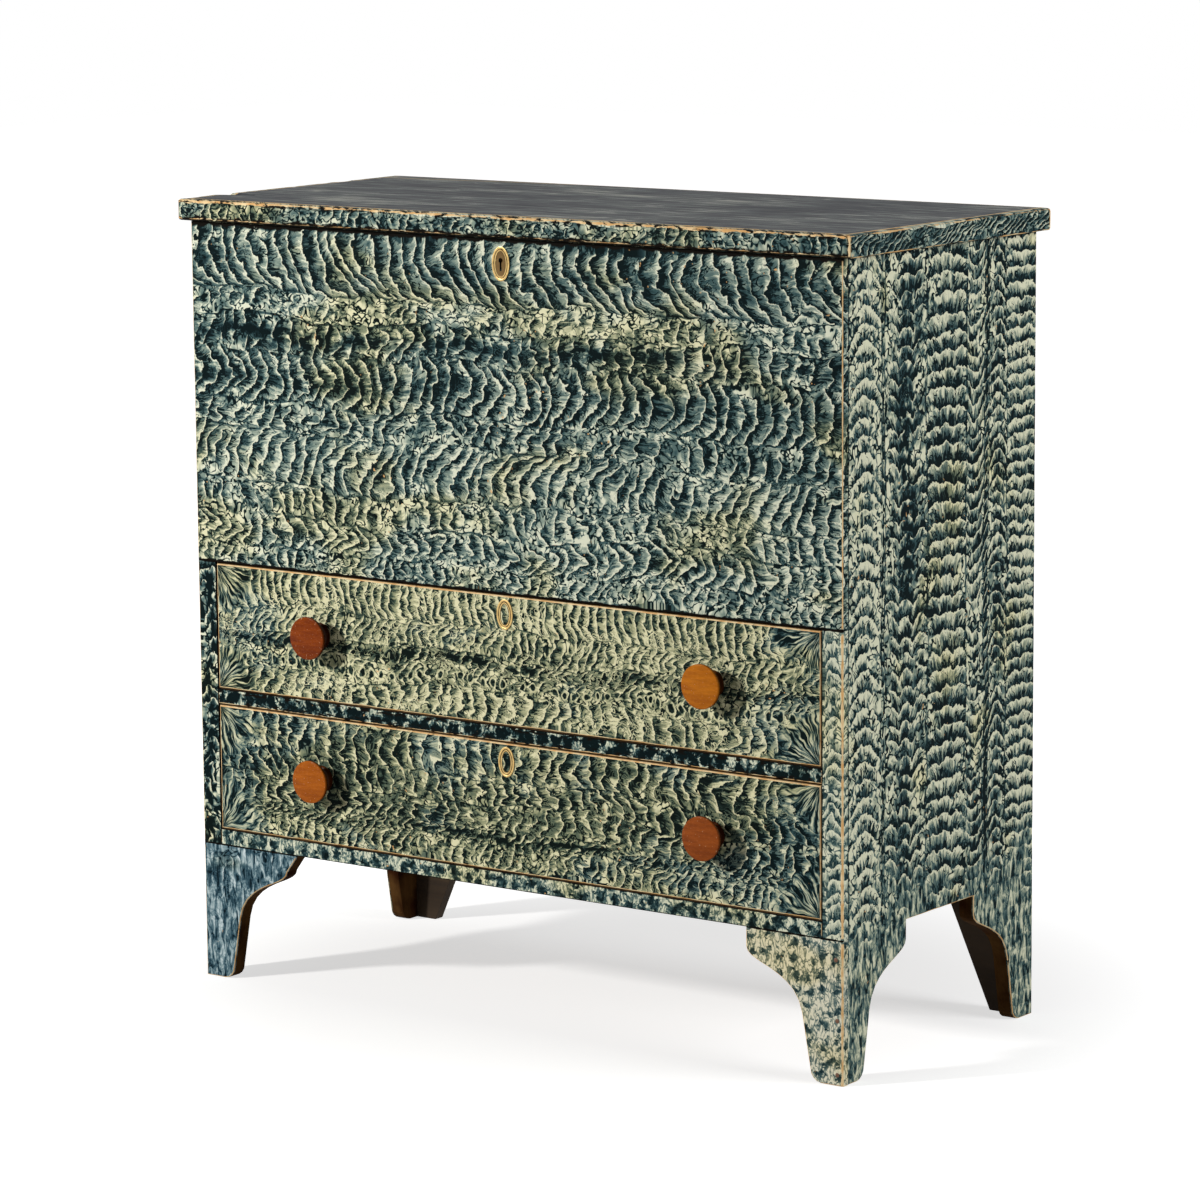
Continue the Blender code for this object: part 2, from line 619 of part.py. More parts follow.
def lock(lid_carrier, bolt_carrier):
    """The lid's lock: a case let into the front board, a sliding bolt, and a hooked strike under the lid."""
    bolt_z = CASE_H - BOLT_DROP
    bolt_tip = HOOK_LEFT - HOOK_CLEAR - FIT
    bolt_tail = bolt_tip - BOLT_L
    front = LOCK_Y - LOCK_T / 2
    case = box("lock_case", (-LOCK_W / 2, LOCK_W / 2), (front, LOCK_Y + LOCK_T / 2),
               (CASE_H - LOCK_H, CASE_H))
    hook_room = box("hook_room", (HOOK_LEFT - HOOK_CLEAR, -HOOK_LEFT + HOOK_CLEAR),
                    (LOCK_Y - HOOK_T / 2 - HOOK_CLEAR, LOCK_Y + HOOK_T / 2 + HOOK_CLEAR),
                    (CASE_H - HOOK_H - HOOK_CLEAR, CASE_H + PAST))
    bolt_room = box("bolt_room", (bolt_tail - FIT, HOOK_LEFT),
                    (LOCK_Y - BOLT_T / 2 - FIT, LOCK_Y + BOLT_T / 2 + FIT),
                    (bolt_z - BOLT_H / 2 - FIT, bolt_z + BOLT_H / 2 + FIT))
    window = keyhole("window", CASE_H - LOCK_PLATE_DROP, front - PAST, front + LOCK_WINDOW)
    cut(case, hook_room, bolt_room, window)
    finish(case, IRON)

    bolt = box("lock_bolt", (bolt_tail, bolt_tip), (LOCK_Y - BOLT_T / 2, LOCK_Y + BOLT_T / 2),
               (bolt_z - BOLT_H / 2, bolt_z + BOLT_H / 2))
    finish(bolt, IRON, bolt_carrier)

    notch = (bolt_z - BOLT_H / 2 - BOLT_NOTCH_GAP, bolt_z + BOLT_H / 2 + BOLT_NOTCH_GAP)
    upright = -HOOK_LEFT - HOOK_BACK
    root = LID_Z + STRIKE_T / 2
    outline = [(HOOK_LEFT, CASE_H - HOOK_H), (-HOOK_LEFT, CASE_H - HOOK_H), (-HOOK_LEFT, root),
               (HOOK_LEFT, root), (HOOK_LEFT, notch[1]), (upright, notch[1]), (upright, notch[0]),
               (HOOK_LEFT, notch[0])]
    strike = box("lock_strike", (-STRIKE_L / 2, STRIKE_L / 2), (LOCK_Y - STRIKE_W / 2, LOCK_Y + STRIKE_W / 2),
                 (LID_Z, LID_Z + STRIKE_T))
    join(strike, prism("hook", outline, "Y", LOCK_Y - HOOK_T / 2, LOCK_Y + HOOK_T / 2))
    finish(strike, IRON, lid_carrier)


def main():
    clear_scene()
    lid_axis = axis_empty("lid_axis", 0.0, AXIS_Y, AXIS_Z)
    bolt_axis = axis_empty("lock_bolt_axis", 0.0, LOCK_Y, CASE_H - BOLT_DROP)
    for hand, sign in SIDES.items():
        side_board(f"{hand}_side", sign)
        stile(f"{hand}_stile", sign)
        front_foot(f"{hand}_front_foot", sign, FOOT_FLARE if hand == "left" else 0.0)
        rear_bracket(f"{hand}_rear_bracket", sign)
    front_board()
    back_boards()
    well_bottom()
    rail("bottom_rail", FOOT_H, LOWER_LEVEL)
    rail("drawer_divider", DIVIDER_Z, UPPER_LEVEL)
    for place, level in (("lower", LOWER_LEVEL), ("upper", UPPER_LEVEL)):
        drawer_track(place, level)
        drawer(place, level, axis_empty(f"{place}_drawer_axis", 0.0, FRONT_Y, level))
    lid(lid_axis)
    hinges(lid_axis)
    lock(lid_axis, bolt_axis)
    lock_plate = oval_plate("lock_plate", LOCK_PLATE_W, LOCK_PLATE_H, CASE_H - LOCK_PLATE_DROP, pierced=True)
    finish(lock_plate, BRASS)


main()
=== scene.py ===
"""Looks, light and camera for the painted blanket chest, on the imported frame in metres, front towards -Y."""

import json
import math

import bmesh
import bpy
from mathutils import Matrix, Vector, noise

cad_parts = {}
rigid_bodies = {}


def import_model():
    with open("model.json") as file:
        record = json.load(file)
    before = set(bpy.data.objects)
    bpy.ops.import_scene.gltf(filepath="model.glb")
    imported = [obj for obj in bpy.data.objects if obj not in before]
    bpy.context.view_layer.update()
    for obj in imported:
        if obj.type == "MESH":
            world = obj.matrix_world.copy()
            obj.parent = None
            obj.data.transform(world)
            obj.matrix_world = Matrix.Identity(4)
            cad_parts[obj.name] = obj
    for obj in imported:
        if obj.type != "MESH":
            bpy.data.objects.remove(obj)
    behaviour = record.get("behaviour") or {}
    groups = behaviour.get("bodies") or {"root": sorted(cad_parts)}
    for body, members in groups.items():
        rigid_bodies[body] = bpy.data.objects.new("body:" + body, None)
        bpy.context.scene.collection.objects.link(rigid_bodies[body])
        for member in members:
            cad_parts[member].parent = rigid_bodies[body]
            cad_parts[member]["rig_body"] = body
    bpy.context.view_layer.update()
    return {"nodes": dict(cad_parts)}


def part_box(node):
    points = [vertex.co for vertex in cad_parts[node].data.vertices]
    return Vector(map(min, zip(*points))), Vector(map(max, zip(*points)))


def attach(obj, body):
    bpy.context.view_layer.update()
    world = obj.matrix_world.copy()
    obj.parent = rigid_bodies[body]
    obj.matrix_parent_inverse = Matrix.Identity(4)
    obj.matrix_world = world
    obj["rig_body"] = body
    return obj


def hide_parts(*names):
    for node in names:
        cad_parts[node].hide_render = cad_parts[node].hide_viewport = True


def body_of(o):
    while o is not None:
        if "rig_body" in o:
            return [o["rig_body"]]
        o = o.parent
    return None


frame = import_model()
NODES = frame["nodes"]


# Node trees

class Value:
    """A number socket that adds Math nodes as it is used in arithmetic."""

    def __init__(self, tree, socket):
        self.tree = tree
        self.socket = socket

    def math(self, operation, *others, clamp=False, first=None):
        node = self.tree.nodes.new("ShaderNodeMath")
        node.operation = operation
        node.use_clamp = clamp
        given = [self, *others] if first is None else [first, self, *others]
        for socket, value in zip(node.inputs, given):
            plug(self.tree, socket, value)
        return Value(self.tree, node.outputs[0])

    def __add__(self, other):
        return self.math("ADD", other)

    def __sub__(self, other):
        return self.math("SUBTRACT", other)

    def __rsub__(self, other):
        return self.math("SUBTRACT", first=other)

    def __mul__(self, other):
        return self.math("MULTIPLY", other)

    def __truediv__(self, other):
        return self.math("DIVIDE", other)

    def __pow__(self, other):
        return self.math("POWER", other)

    def __abs__(self):
        return self.math("ABSOLUTE")

    def floor(self):
        return self.math("FLOOR")

    def least(self, other):
        return self.math("MINIMUM", other)

    def most(self, other):
        return self.math("MAXIMUM", other)

    def clamp(self):
        return self.math("ADD", 0.0, clamp=True)

    def sine(self):
        return self.math("SINE")

    def ramp(self, low, high, start=0.0, end=1.0):
        """A smooth step from start, at low, to end, at high."""
        node = self.tree.nodes.new("ShaderNodeMapRange")
        node.interpolation_type = "SMOOTHSTEP"
        for socket, value in zip(node.inputs, (self, low, high, start, end)):
            plug(self.tree, socket, value)
        return Value(self.tree, node.outputs[0])


def plug(tree, socket, value):
    """Link a value or a socket to an input, or set the input to a constant."""
    if isinstance(value, Value):
        tree.links.new(value.socket, socket)
    elif isinstance(value, bpy.types.NodeSocket):
        tree.links.new(value, socket)
    else:
        socket.default_value = value


def add(tree, kind, inputs=None, **settings):
    node = tree.nodes.new(kind)
    for name, value in settings.items():
        setattr(node, name, value)
    for name, value in (inputs or {}).items():
        plug(tree, node.inputs[name], value)
    return node


def vector(tree, x, y, z=0.0):
    return add(tree, "ShaderNodeCombineXYZ", {"X": x, "Y": y, "Z": z}).outputs[0]


def split(tree, socket):
    node = add(tree, "ShaderNodeSeparateXYZ", {"Vector": socket})
    return [Value(tree, out) for out in node.outputs]


def cloud(tree, place, scale, detail=2.0, rough=0.5, twist=0.0):
    """Noise at a place, from 0 to 1."""
    node = add(tree, "ShaderNodeTexNoise", {"Vector": place, "Scale": scale, "Detail": detail,
                                            "Roughness": rough, "Distortion": twist})
    return Value(tree, node.outputs["Fac"])


def cloud_at(tree, x, y, z, detail=2.0, rough=0.5, twist=0.0):
    """Noise over three numbers, each already in cells of the noise."""
    return cloud(tree, vector(tree, x, y, z), 1.0, detail, rough, twist)


def mix(tree, share, a, b):
    """A number between a and b."""
    node = add(tree, "ShaderNodeMix", data_type="FLOAT")
    for socket, value in zip(node.inputs[:1] + node.inputs[2:4], (share, a, b)):
        plug(tree, socket, value)
    return Value(tree, node.outputs[0])


def blend(tree, share, a, b, kind="MIX"):
    """A colour between a and b."""
    node = add(tree, "ShaderNodeMix", data_type="RGBA", blend_type=kind)
    for socket, value in zip((node.inputs[0], node.inputs[6], node.inputs[7]), (share, a, b)):
        plug(tree, socket, value if not isinstance(value, tuple) else (*value, 1.0))
    return node.outputs[2]


def colours(tree, share, stops, interpolation="LINEAR"):
    """A colour ramp from (place, colour) pairs. A colour may have a fourth number."""
    node = add(tree, "ShaderNodeValToRGB", {"Fac": share})
    ramp = node.color_ramp
    ramp.interpolation = interpolation
    while len(ramp.elements) < len(stops):
        ramp.elements.new(1.0)
    for element, (place, colour) in zip(ramp.elements, stops):
        element.position = place
        element.color = colour if len(colour) == 4 else (*colour, 1.0)
    return node.outputs


def make_group(name, inputs, outputs, build, kind="ShaderNodeTree"):
    """A node group with named inputs and outputs, given as name to socket type."""
    tree = bpy.data.node_groups.new(name, kind)
    for way, sockets in (("INPUT", inputs), ("OUTPUT", outputs)):
        for label, socket_kind in sockets.items():
            tree.interface.new_socket(name=label, in_out=way, socket_type=f"NodeSocket{socket_kind}")
    inside = add(tree, "NodeGroupInput")
    given = {}
    for label, socket_kind in inputs.items():
        socket = inside.outputs[label]
        given[label] = Value(tree, socket) if socket_kind == "Float" else socket
    end = add(tree, "NodeGroupOutput")
    for label, value in build(tree, given).items():
        plug(tree, end.inputs[label], value)
    return tree


def floats(*labels):
    return dict.fromkeys(labels, "Float")


def use(tree, group, inputs):
    """Place a group in a tree. Its outputs come by name, the numbers as Values."""
    node = add(tree, "ShaderNodeGroup", inputs, node_tree=group)
    return {out.name: Value(tree, out) if out.type == "VALUE" else out for out in node.outputs}


# Paint: rows of pressed ribs, feathered away from a crisp edge

# Cells of noise in a metre for marks finer than a rib: across the row, and along it where that differs
STREAKS = 230.0
VEINS = (120.0, 50.0)
FORKS = (220.0, 55.0)
BREAKS = (135.0, 112.0)
STRANDS = (74.0, 62.0)
DABS_IN_A_METRE = 50.0
# A rib's tone, from its crisp edge to its dark back
RIB_TONES = ((0.0, 0.84), (0.16, 0.60), (0.42, 0.47), (0.52, 0.24), (1.0, 0.09))


def squiggle(tree, x, y, z, width, twist=0.5):
    """Thin wandering lines, 1 on a line, where a cloud crosses its middle value."""
    return abs(cloud_at(tree, x, y, z, 1.0, 0.5, twist) - 0.5).ramp(width * 0.35, width, 1.0, 0.0)


def strokes(tree, g):
    """The tone of one row of ribs. Along runs down the row in metres and Across runs 0 to 1 over it."""
    across, along, width, grain, seed = (g[label] for label in ("Across", "Along", "Width", "Grain", "Seed"))
    over = across * width
    side = across * 2.0 - 1.0
    place = vector(tree, along, over, seed)
    # A rib begins with a crisp edge wherever the phase reaches a whole number
    wander = cloud_at(tree, along * 14.0, seed * 3.7, across * 1.4) - 0.5
    lump = cloud(tree, place, 48.0, 1.0) - 0.5
    fine = cloud(tree, place, 130.0, 2.0, 0.6) - 0.5
    lobes = abs((across * g["Lobes"] * math.pi).sine()) - 0.6
    shape = side * side * g["Bow"] + side * g["Slant"] + lobes * g["Lobe Depth"]
    bent = shape + (wander * 2.6 + lump * 0.8) * g["Loose"] + fine * 0.6
    phase = along / g["Pitch"] + bent + seed * 5.3
    rib = phase.floor()
    back = phase - rib
    chance = cloud_at(tree, rib * 3.3, across * 2.6, seed, 1.0)
    # Streaks and veins run back from the crisp edge and thicken as they go
    spread = (across - 0.5) * (back * 0.5 + 1.0) * width * grain
    down = along * grain
    streak = cloud_at(tree, spread * STREAKS + rib * 7.31, phase * 0.9, seed, 3.0, 0.65) - 0.5
    reach = back * (chance * 0.7 + 0.4) + streak * g["Feather"] * 2.5
    body = Value(tree, colours(tree, reach, [(at, (tone,) * 3) for at, tone in RIB_TONES])[0])
    lip = back.ramp(0.0, 0.14, 0.75, 0.0) * chance
    thick = back.ramp(0.04, 0.7, 0.004, 0.06)
    vein = squiggle(tree, spread * VEINS[0] + rib * 3.1, down * VEINS[1], seed, thick, 0.8)
    thick = back.ramp(0.25, 1.0, 0.001, 0.08)
    fork = squiggle(tree, spread * FORKS[0] + rib * 5.7, down * FORKS[1], seed, thick)
    ribs = (body + lip) * (1.0 - vein.most(fork) * 0.9)
    # Broken, squiggled paint where rows meet and in patches
    zone = abs(side) * 0.6 + (cloud(tree, place, 34.0) - 0.5) * 3.0 + g["Mottle"] - 0.8
    patch = cloud(tree, place, 60.0, 2.0, 0.6).ramp(0.3, 0.7, 0.42, 0.92)
    lines = squiggle(tree, down * BREAKS[1], over * grain * BREAKS[0], seed + 9.0, 0.072)
    tone = mix(tree, zone.ramp(0.0, 0.45), ribs, patch * (1.0 - lines * 0.95))
    # A dark band down the middle of the row, and dark borders
    band = (side * side * -5.0).math("EXPONENT")
    band = band * cloud_at(tree, along * 6.0, seed * 9.1, across, 1.0).ramp(0.35, 0.65)
    band = band * cloud_at(tree, along * 75.0, over * 90.0, seed).ramp(0.36, 0.56)
    tone = tone * (1.0 - band * g["Dark"])
    border = abs(side).ramp(0.90, 0.98) * cloud_at(tree, along * 25.0, seed, side, 1.0).ramp(0.4, 0.6)
    tone = tone * (1.0 - border * 0.6)
    # Pale strands curl over the dark parts
    strand = squiggle(tree, down * STRANDS[1], over * grain * STRANDS[0], seed + 21.0, 0.05, 2.2)
    strand = strand * cloud(tree, place, 24.0).ramp(0.42, 0.58) * g["Curl"]
    tone = tone.most(strand * 0.8)
    drift = cloud_at(tree, along * 9.0, over * 20.0, seed, 3.0) - 0.5
    return {"Tone": (tone + drift * 0.5 * tone.ramp(0.0, 0.3) + g["Lift"]).clamp()}


STROKES = make_group(
    "putty_strokes", floats("Along", "Across", "Width", "Pitch", "Bow", "Slant", "Lobes", "Lobe Depth", "Feather",
                            "Mottle", "Dark", "Lift", "Loose", "Grain", "Curl", "Seed"), floats("Tone"), strokes)


def dabbed(tree, g):
    """Dark dabs over pale scumbled paint that shows a little of the rows' tone."""
    u, v, seed = g["U"], g["V"], g["Seed"]
    spots = add(tree, "ShaderNodeTexVoronoi", {"Vector": vector(tree, u + seed, v), "Scale": DABS_IN_A_METRE,
                                               "Randomness": 0.6}, voronoi_dimensions="2D")
    torn = cloud_at(tree, u * 120.0, v * 120.0, seed, 3.0, 0.65, 0.6) - 0.5
    dab = Value(tree, spots.outputs["Distance"]) + torn * 1.7
    dab = dab.ramp(g["Size"] - 0.15, g["Size"] + 0.15, 1.0, 0.0)
    scumble = cloud_at(tree, u * 120.0, v * 60.0, seed, 3.0, 0.65).ramp(0.30, 0.58, 0.66, 0.94)
    crazed = squiggle(tree, u * 190.0, v * 90.0, seed + 3.0, 0.08) * 0.5
    pale = mix(tree, 0.25, scumble * (1.0 - crazed), g["Tone"])
    return {"Tone": mix(tree, dab, pale, (torn * 0.7 + g["Dark"]).clamp())}


DABS = make_group("dark_dabs", floats("U", "V", "Tone", "Size", "Dark", "Seed"), floats("Tone"), dabbed)


def corner_fans(tree, g):
    """Strands of paint that fan out of a board's dark corners, over the tone of its rows. Its ends are cooler."""
    place, end, side = g["Place"], g["Near End"], g["Near Side"]
    far = (end * end + side * side) ** 0.5
    bend = cloud(tree, place, 30.0) - 0.5
    turn = side.math("ARCTAN2", end) * 12.0 + bend * 7.0
    lines = cloud_at(tree, turn, far * 36.0, g["Seed"], 3.0, twist=1.0)
    fan = lines.ramp(0.38, 0.62, 0.08, 0.84) - far.ramp(0.0, 0.018, 0.4, 0.0)
    edge = far + (cloud(tree, place, 36.0) - 0.5) * 0.10
    tone = mix(tree, edge.ramp(0.045, 0.070, 0.9, 0.0), g["Tone"], fan)
    return {"Tone": tone - end.ramp(0.02, 0.13, 0.07, 0.0), "Cool": end.ramp(0.02, 0.16, 0.14, 0.0)}


FANS = make_group("corner_fans", {"Place": "Vector", **floats("Near End", "Near Side", "Tone", "Seed")},
                  floats("Tone", "Cool"), corner_fans)


def dragged(tree, g):
    """Paint dragged downwards near the floor, over the tone of the rows, and cooler."""
    x, y, z = split(tree, g["Place"])
    drag = cloud_at(tree, (x + y) * 150.0, z * 42.0, g["Seed"], 4.0, 0.65, 0.8)
    down = (z + (cloud(tree, g["Place"], 26.0) - 0.5) * 0.3).ramp(0.16, 0.26, 0.85, 0.0)
    return {"Tone": mix(tree, down, g["Tone"], drag.ramp(0.33, 0.68, 0.10, 0.78)), "Cool": down * 0.06}


DRAGGED = make_group("dragged_paint", {"Place": "Vector", **floats("Tone", "Seed")}, floats("Tone", "Cool"), dragged)

# Colours, linear. The paints run from the darkest tone to the palest
BLUE_PAINT = ((0.002, 0.007, 0.008), (0.011, 0.028, 0.033), (0.038, 0.082, 0.087), (0.107, 0.168, 0.158),
              (0.250, 0.322, 0.274), (0.446, 0.500, 0.412), (0.678, 0.706, 0.572))
OLIVE_PAINT = ((0.003, 0.0062, 0.0048), (0.015, 0.026, 0.019), (0.055, 0.081, 0.053), (0.143, 0.168, 0.098),
               (0.300, 0.316, 0.186), (0.500, 0.492, 0.302), (0.715, 0.689, 0.448))
TONES = (0.06, 0.145, 0.285, 0.44, 0.585, 0.73, 0.865)
BARE = (0.72, 0.42, 0.17)
BARE_PALE = (0.86, 0.66, 0.38)
# Black, for soot flecks and dark seams, and for the painted shadow lines under the lid and above the upper drawer
SOOT_AND_SHADOW = (0.004, 0.003, 0.002)
INSIDE_DARK = (0.10, 0.050, 0.020)
INSIDE_LIGHT = (0.40, 0.240, 0.110)
# Colours that bare wood is darkened towards near the floor
NEAR_FLOOR_DARK = (0.10, 0.05, 0.035)
NEAR_FLOOR_LIGHT = (0.30, 0.24, 0.16)


def paint_colour(tree, g):
    """The colour of a tone: blue, or olive in patches and where it is pale, with specks of bare wood."""
    tone, place = g["Tone"], g["Place"]
    patchy = g["Drift"].ramp(g["Olive"] * -0.4 + 0.60, g["Olive"] * -0.4 + 0.74) * 0.8
    warm = (patchy + tone.ramp(0.36, 0.68) * g["Cream"]).clamp()
    looks = [colours(tree, tone, list(zip(TONES, stops)))[0] for stops in (BLUE_PAINT, OLIVE_PAINT)]
    colour = blend(tree, 1.0, blend(tree, warm, *looks), g["Tint"], "MULTIPLY")
    specks = cloud(tree, place, 190.0, 1.0).ramp(0.74, 0.77) * cloud(tree, place, 9.0, 1.0).ramp(0.5, 0.65)
    return {"Colour": blend(tree, specks * 0.8, colour, BARE)}


PAINT = make_group("paint_colour", {"Place": "Vector", "Tint": "Color", **floats("Tone", "Drift", "Olive", "Cream")},
                   {"Colour": "Color"}, paint_colour)


def edge_wear(tree, g):
    """1 on worn wood near the edges of a board's box, 0 on sound paint, and the colour of the worn wood."""
    at = split(tree, g["Position"])
    low = split(tree, g["Low"])
    high = split(tree, g["High"])
    near = [(a - b).least(c - a) for a, b, c in zip(at, low, high)]
    edge = near[0].least(near[1]).most(near[0].most(near[1]).least(near[2]))
    rag = cloud(tree, g["Position"], 85.0, 3.0, 0.6)
    wide = cloud(tree, g["Position"], 14.0, 1.0)
    reach = g["Reach"] * (rag * 1.6 + wide * 1.2 - 0.4)
    bare = blend(tree, cloud(tree, g["Position"], 60.0).ramp(0.35, 0.65), BARE, BARE_PALE)
    return {"Mask": (reach - edge).ramp(0.0, 0.0006), "Edge": edge, "Colour": bare}


WEAR = make_group("edge_wear", {"Position": "Vector", "Low": "Vector", "High": "Vector", "Reach": "Float"},
                  {"Mask": "Float", "Edge": "Float", "Colour": "Color"}, edge_wear)


def flecks_of(tree, g):
    """Marks of soot near an edge, and a mask that leaves flecks of what is worn there."""
    fleck = cloud_at(tree, g["U"] * 70.0, g["V"] * 240.0, g["Seed"], 3.0, 0.6)
    soot = fleck.ramp(0.43, 0.49, 1.0, 0.0) * g["Edge"].ramp(0.004, 0.007, 1.0, 0.0)
    return {"Soot": soot, "Kept": fleck.ramp(0.42, 0.50)}


FLECKS = make_group("edge_flecks", floats("U", "V", "Edge", "Seed"), floats("Soot", "Kept"), flecks_of)


def wood_grain(tree, g):
    """Old pine: long grain along the first axis of the place given, in metres."""
    x, y, z = split(tree, g["Place"])
    bend = cloud_at(tree, x * 2.2, y * 26.0, z * 26.0)
    rings = ((y * 95.0 + z * 60.0 + bend * 9.0).sine() * 0.5 + 0.5) ** 2.0
    pores = cloud_at(tree, x * 16.0, y * 420.0, z * 420.0, 3.0, 0.6)
    dirt = cloud(tree, g["Place"], 7.0, 4.0, 0.6)
    tone = rings * -0.35 + pores * 0.55 + dirt * 0.7
    grain = pores * 0.6 + rings * 0.4
    return {"Colour": blend(tree, tone.clamp(), g["Dark"], g["Light"]), "Grain": grain}


WOOD = make_group("old_pine", {"Place": "Vector", "Dark": "Color", "Light": "Color"},
                  {"Colour": "Color", "Grain": "Float"}, wood_grain)


def darker_near_floor(tree, g):
    """Bare wood, darker and blotched where it is near the floor."""
    blotch = blend(tree, cloud(tree, g["Place"], 25.0, 3.0).ramp(0.35, 0.65), NEAR_FLOOR_DARK, NEAR_FLOOR_LIGHT)
    darkened = blend(tree, 1.0, g["Colour"], blotch, "MULTIPLY")
    low_down = split(tree, g["Place"])[2].ramp(0.16, 0.20, 1.0, 0.0)
    return {"Colour": blend(tree, low_down, g["Colour"], darkened)}


NEAR_FLOOR_DARKENING = make_group("darker_near_floor", {"Place": "Vector", "Colour": "Color"}, {"Colour": "Color"}, darker_near_floor)


# Materials

def new_material(name):
    material = bpy.data.materials.new(name)
    material.use_nodes = True
    tree = material.node_tree
    return material, tree, tree.nodes["Principled BSDF"]


def object_place(tree):
    return add(tree, "ShaderNodeTexCoord").outputs["Object"]


def dress(tree, shader, colour, roughness, height, strength, distance, **constants):
    """Give a shader its colour, its roughness, the relief of a height, and constants such as Metallic."""
    relief = add(tree, "ShaderNodeBump", {"Height": height, "Strength": strength, "Distance": distance})
    for label, value in (("Base Color", colour), ("Roughness", roughness), ("Normal", relief.outputs["Normal"])):
        plug(tree, shader.inputs[label], value)
    for label, value in constants.items():
        shader.inputs[label.replace("_", " ")].default_value = value


def bare_wood(tree, place, grain, dark, light, seed):
    """Colour and grain of bare pine whose grain runs along an axis."""
    x, y, z = split(tree, place)
    order = {"X": (x, y, z), "Y": (y, x, z), "Z": (z, x, y)}[grain]
    found = use(tree, WOOD, {"Place": vector(tree, order[0] + seed, order[1] + seed * 0.37, order[2]),
                             "Dark": (*dark, 1.0), "Light": (*light, 1.0)})
    return found["Colour"], found["Grain"]


def face_gap(at, low, high, side):
    """How far a place lies inside one face of a box, such as -Y."""
    axis = "XYZ".index(side[1])
    return at[axis] - low[axis] if side[0] == "-" else high[axis] - at[axis]


# What a row holds after its height, with the pitch in metres. Each value has the span and the least of its range,
# because the ramps that hold the rows only keep 0 to 1
ROW_LOOK = (("Pitch", 0.1, 0.0), ("Bow", 4.0, -2.0), ("Slant", 4.0, -2.0), ("Lobes", 8.0, 0.0),
            ("Lobe Depth", 4.0, -2.0), ("Feather", 2.0, 0.0), ("Mottle", 2.0, 0.0), ("Dark", 2.0, 0.0),
            ("Lift", 1.0, -0.5))


def row_values(tree, share, rows):
    """Look up the row that a share of the board's height falls in: its start, its width and its look."""
    total = sum(row[0] for row in rows)
    stops, below = [], 0.0
    for height, pitch, *rest in rows:
        kept = [(value - least) / span for value, (_, span, least) in zip((pitch / 1000, *rest), ROW_LOOK)]
        stops.append((below / total, (below / total, height / total, *kept)))
        below += height
    found = []
    for k in range(0, 2 + len(ROW_LOOK), 4):
        out = colours(tree, share, [(start, values[k:k + 4]) for start, values in stops], "CONSTANT")
        parts = add(tree, "ShaderNodeSeparateColor", {"Color": out["Color"]}).outputs
        found += [Value(tree, socket) for socket in (*parts, out["Alpha"])]
    start, width, *kept = found
    return start, width, {label: value * span + least for value, (label, span, least) in zip(kept, ROW_LOOK)}


def row_tone(tree, u, v, width, rows, seed, loose, grain, curl):
    """The tone of a board's rows of ribs, and how far the rows sway."""
    sway = cloud_at(tree, u * 5.0, v * 9.0, seed) - 0.5
    ripple = cloud_at(tree, u * 28.0, v * 28.0, seed + 4.0) - 0.5
    share = ((v + sway * (0.050 * loose) + ripple * (0.016 * loose)) / width).clamp()
    start, row_width, look = row_values(tree, share, rows)
    inside = ((share - start) / row_width).clamp()
    ribs = use(tree, STROKES, {**look, "Along": u, "Across": inside, "Width": row_width * width, "Loose": loose,
                               "Grain": grain, "Curl": curl, "Seed": start * 37.0 + seed})
    return ribs["Tone"], sway


def ring_row(tree, place, tone, u, v, seed):
    """A row of small pale curls with dark middles, over the tone of the rows."""
    pitch, radius = 0.0155, 0.0046
    cell = (u + (cloud(tree, place, 34.0, 1.0) - 0.5) * 0.014) / pitch
    side = (cell - cell.floor() - 0.5) * pitch
    rise = v + (cloud_at(tree, cell.floor() * 3.1, seed, 0.0, 0.0) - 0.5) * 0.016
    far = (side * side + rise * rise * 0.6) ** 0.5 + (cloud(tree, place, 120.0) - 0.5) * 0.007
    kept = cloud_at(tree, cell.floor() * 0.9, seed + 5.0, 0.0, 0.0).ramp(0.36, 0.44)
    broken = cloud(tree, place, 85.0, 1.0).ramp(0.36, 0.5)
    ring = abs(far - radius).ramp(0.0006, 0.0019, 1.0, 0.0) * kept * broken
    dark = far.ramp(0.0026, 0.0042, 1.0, 0.0) * kept
    return (tone * (1.0 - dark * 0.7)).most(ring * 0.72)


MID_TONE = 0.41
UNDER_CASE = 0.165


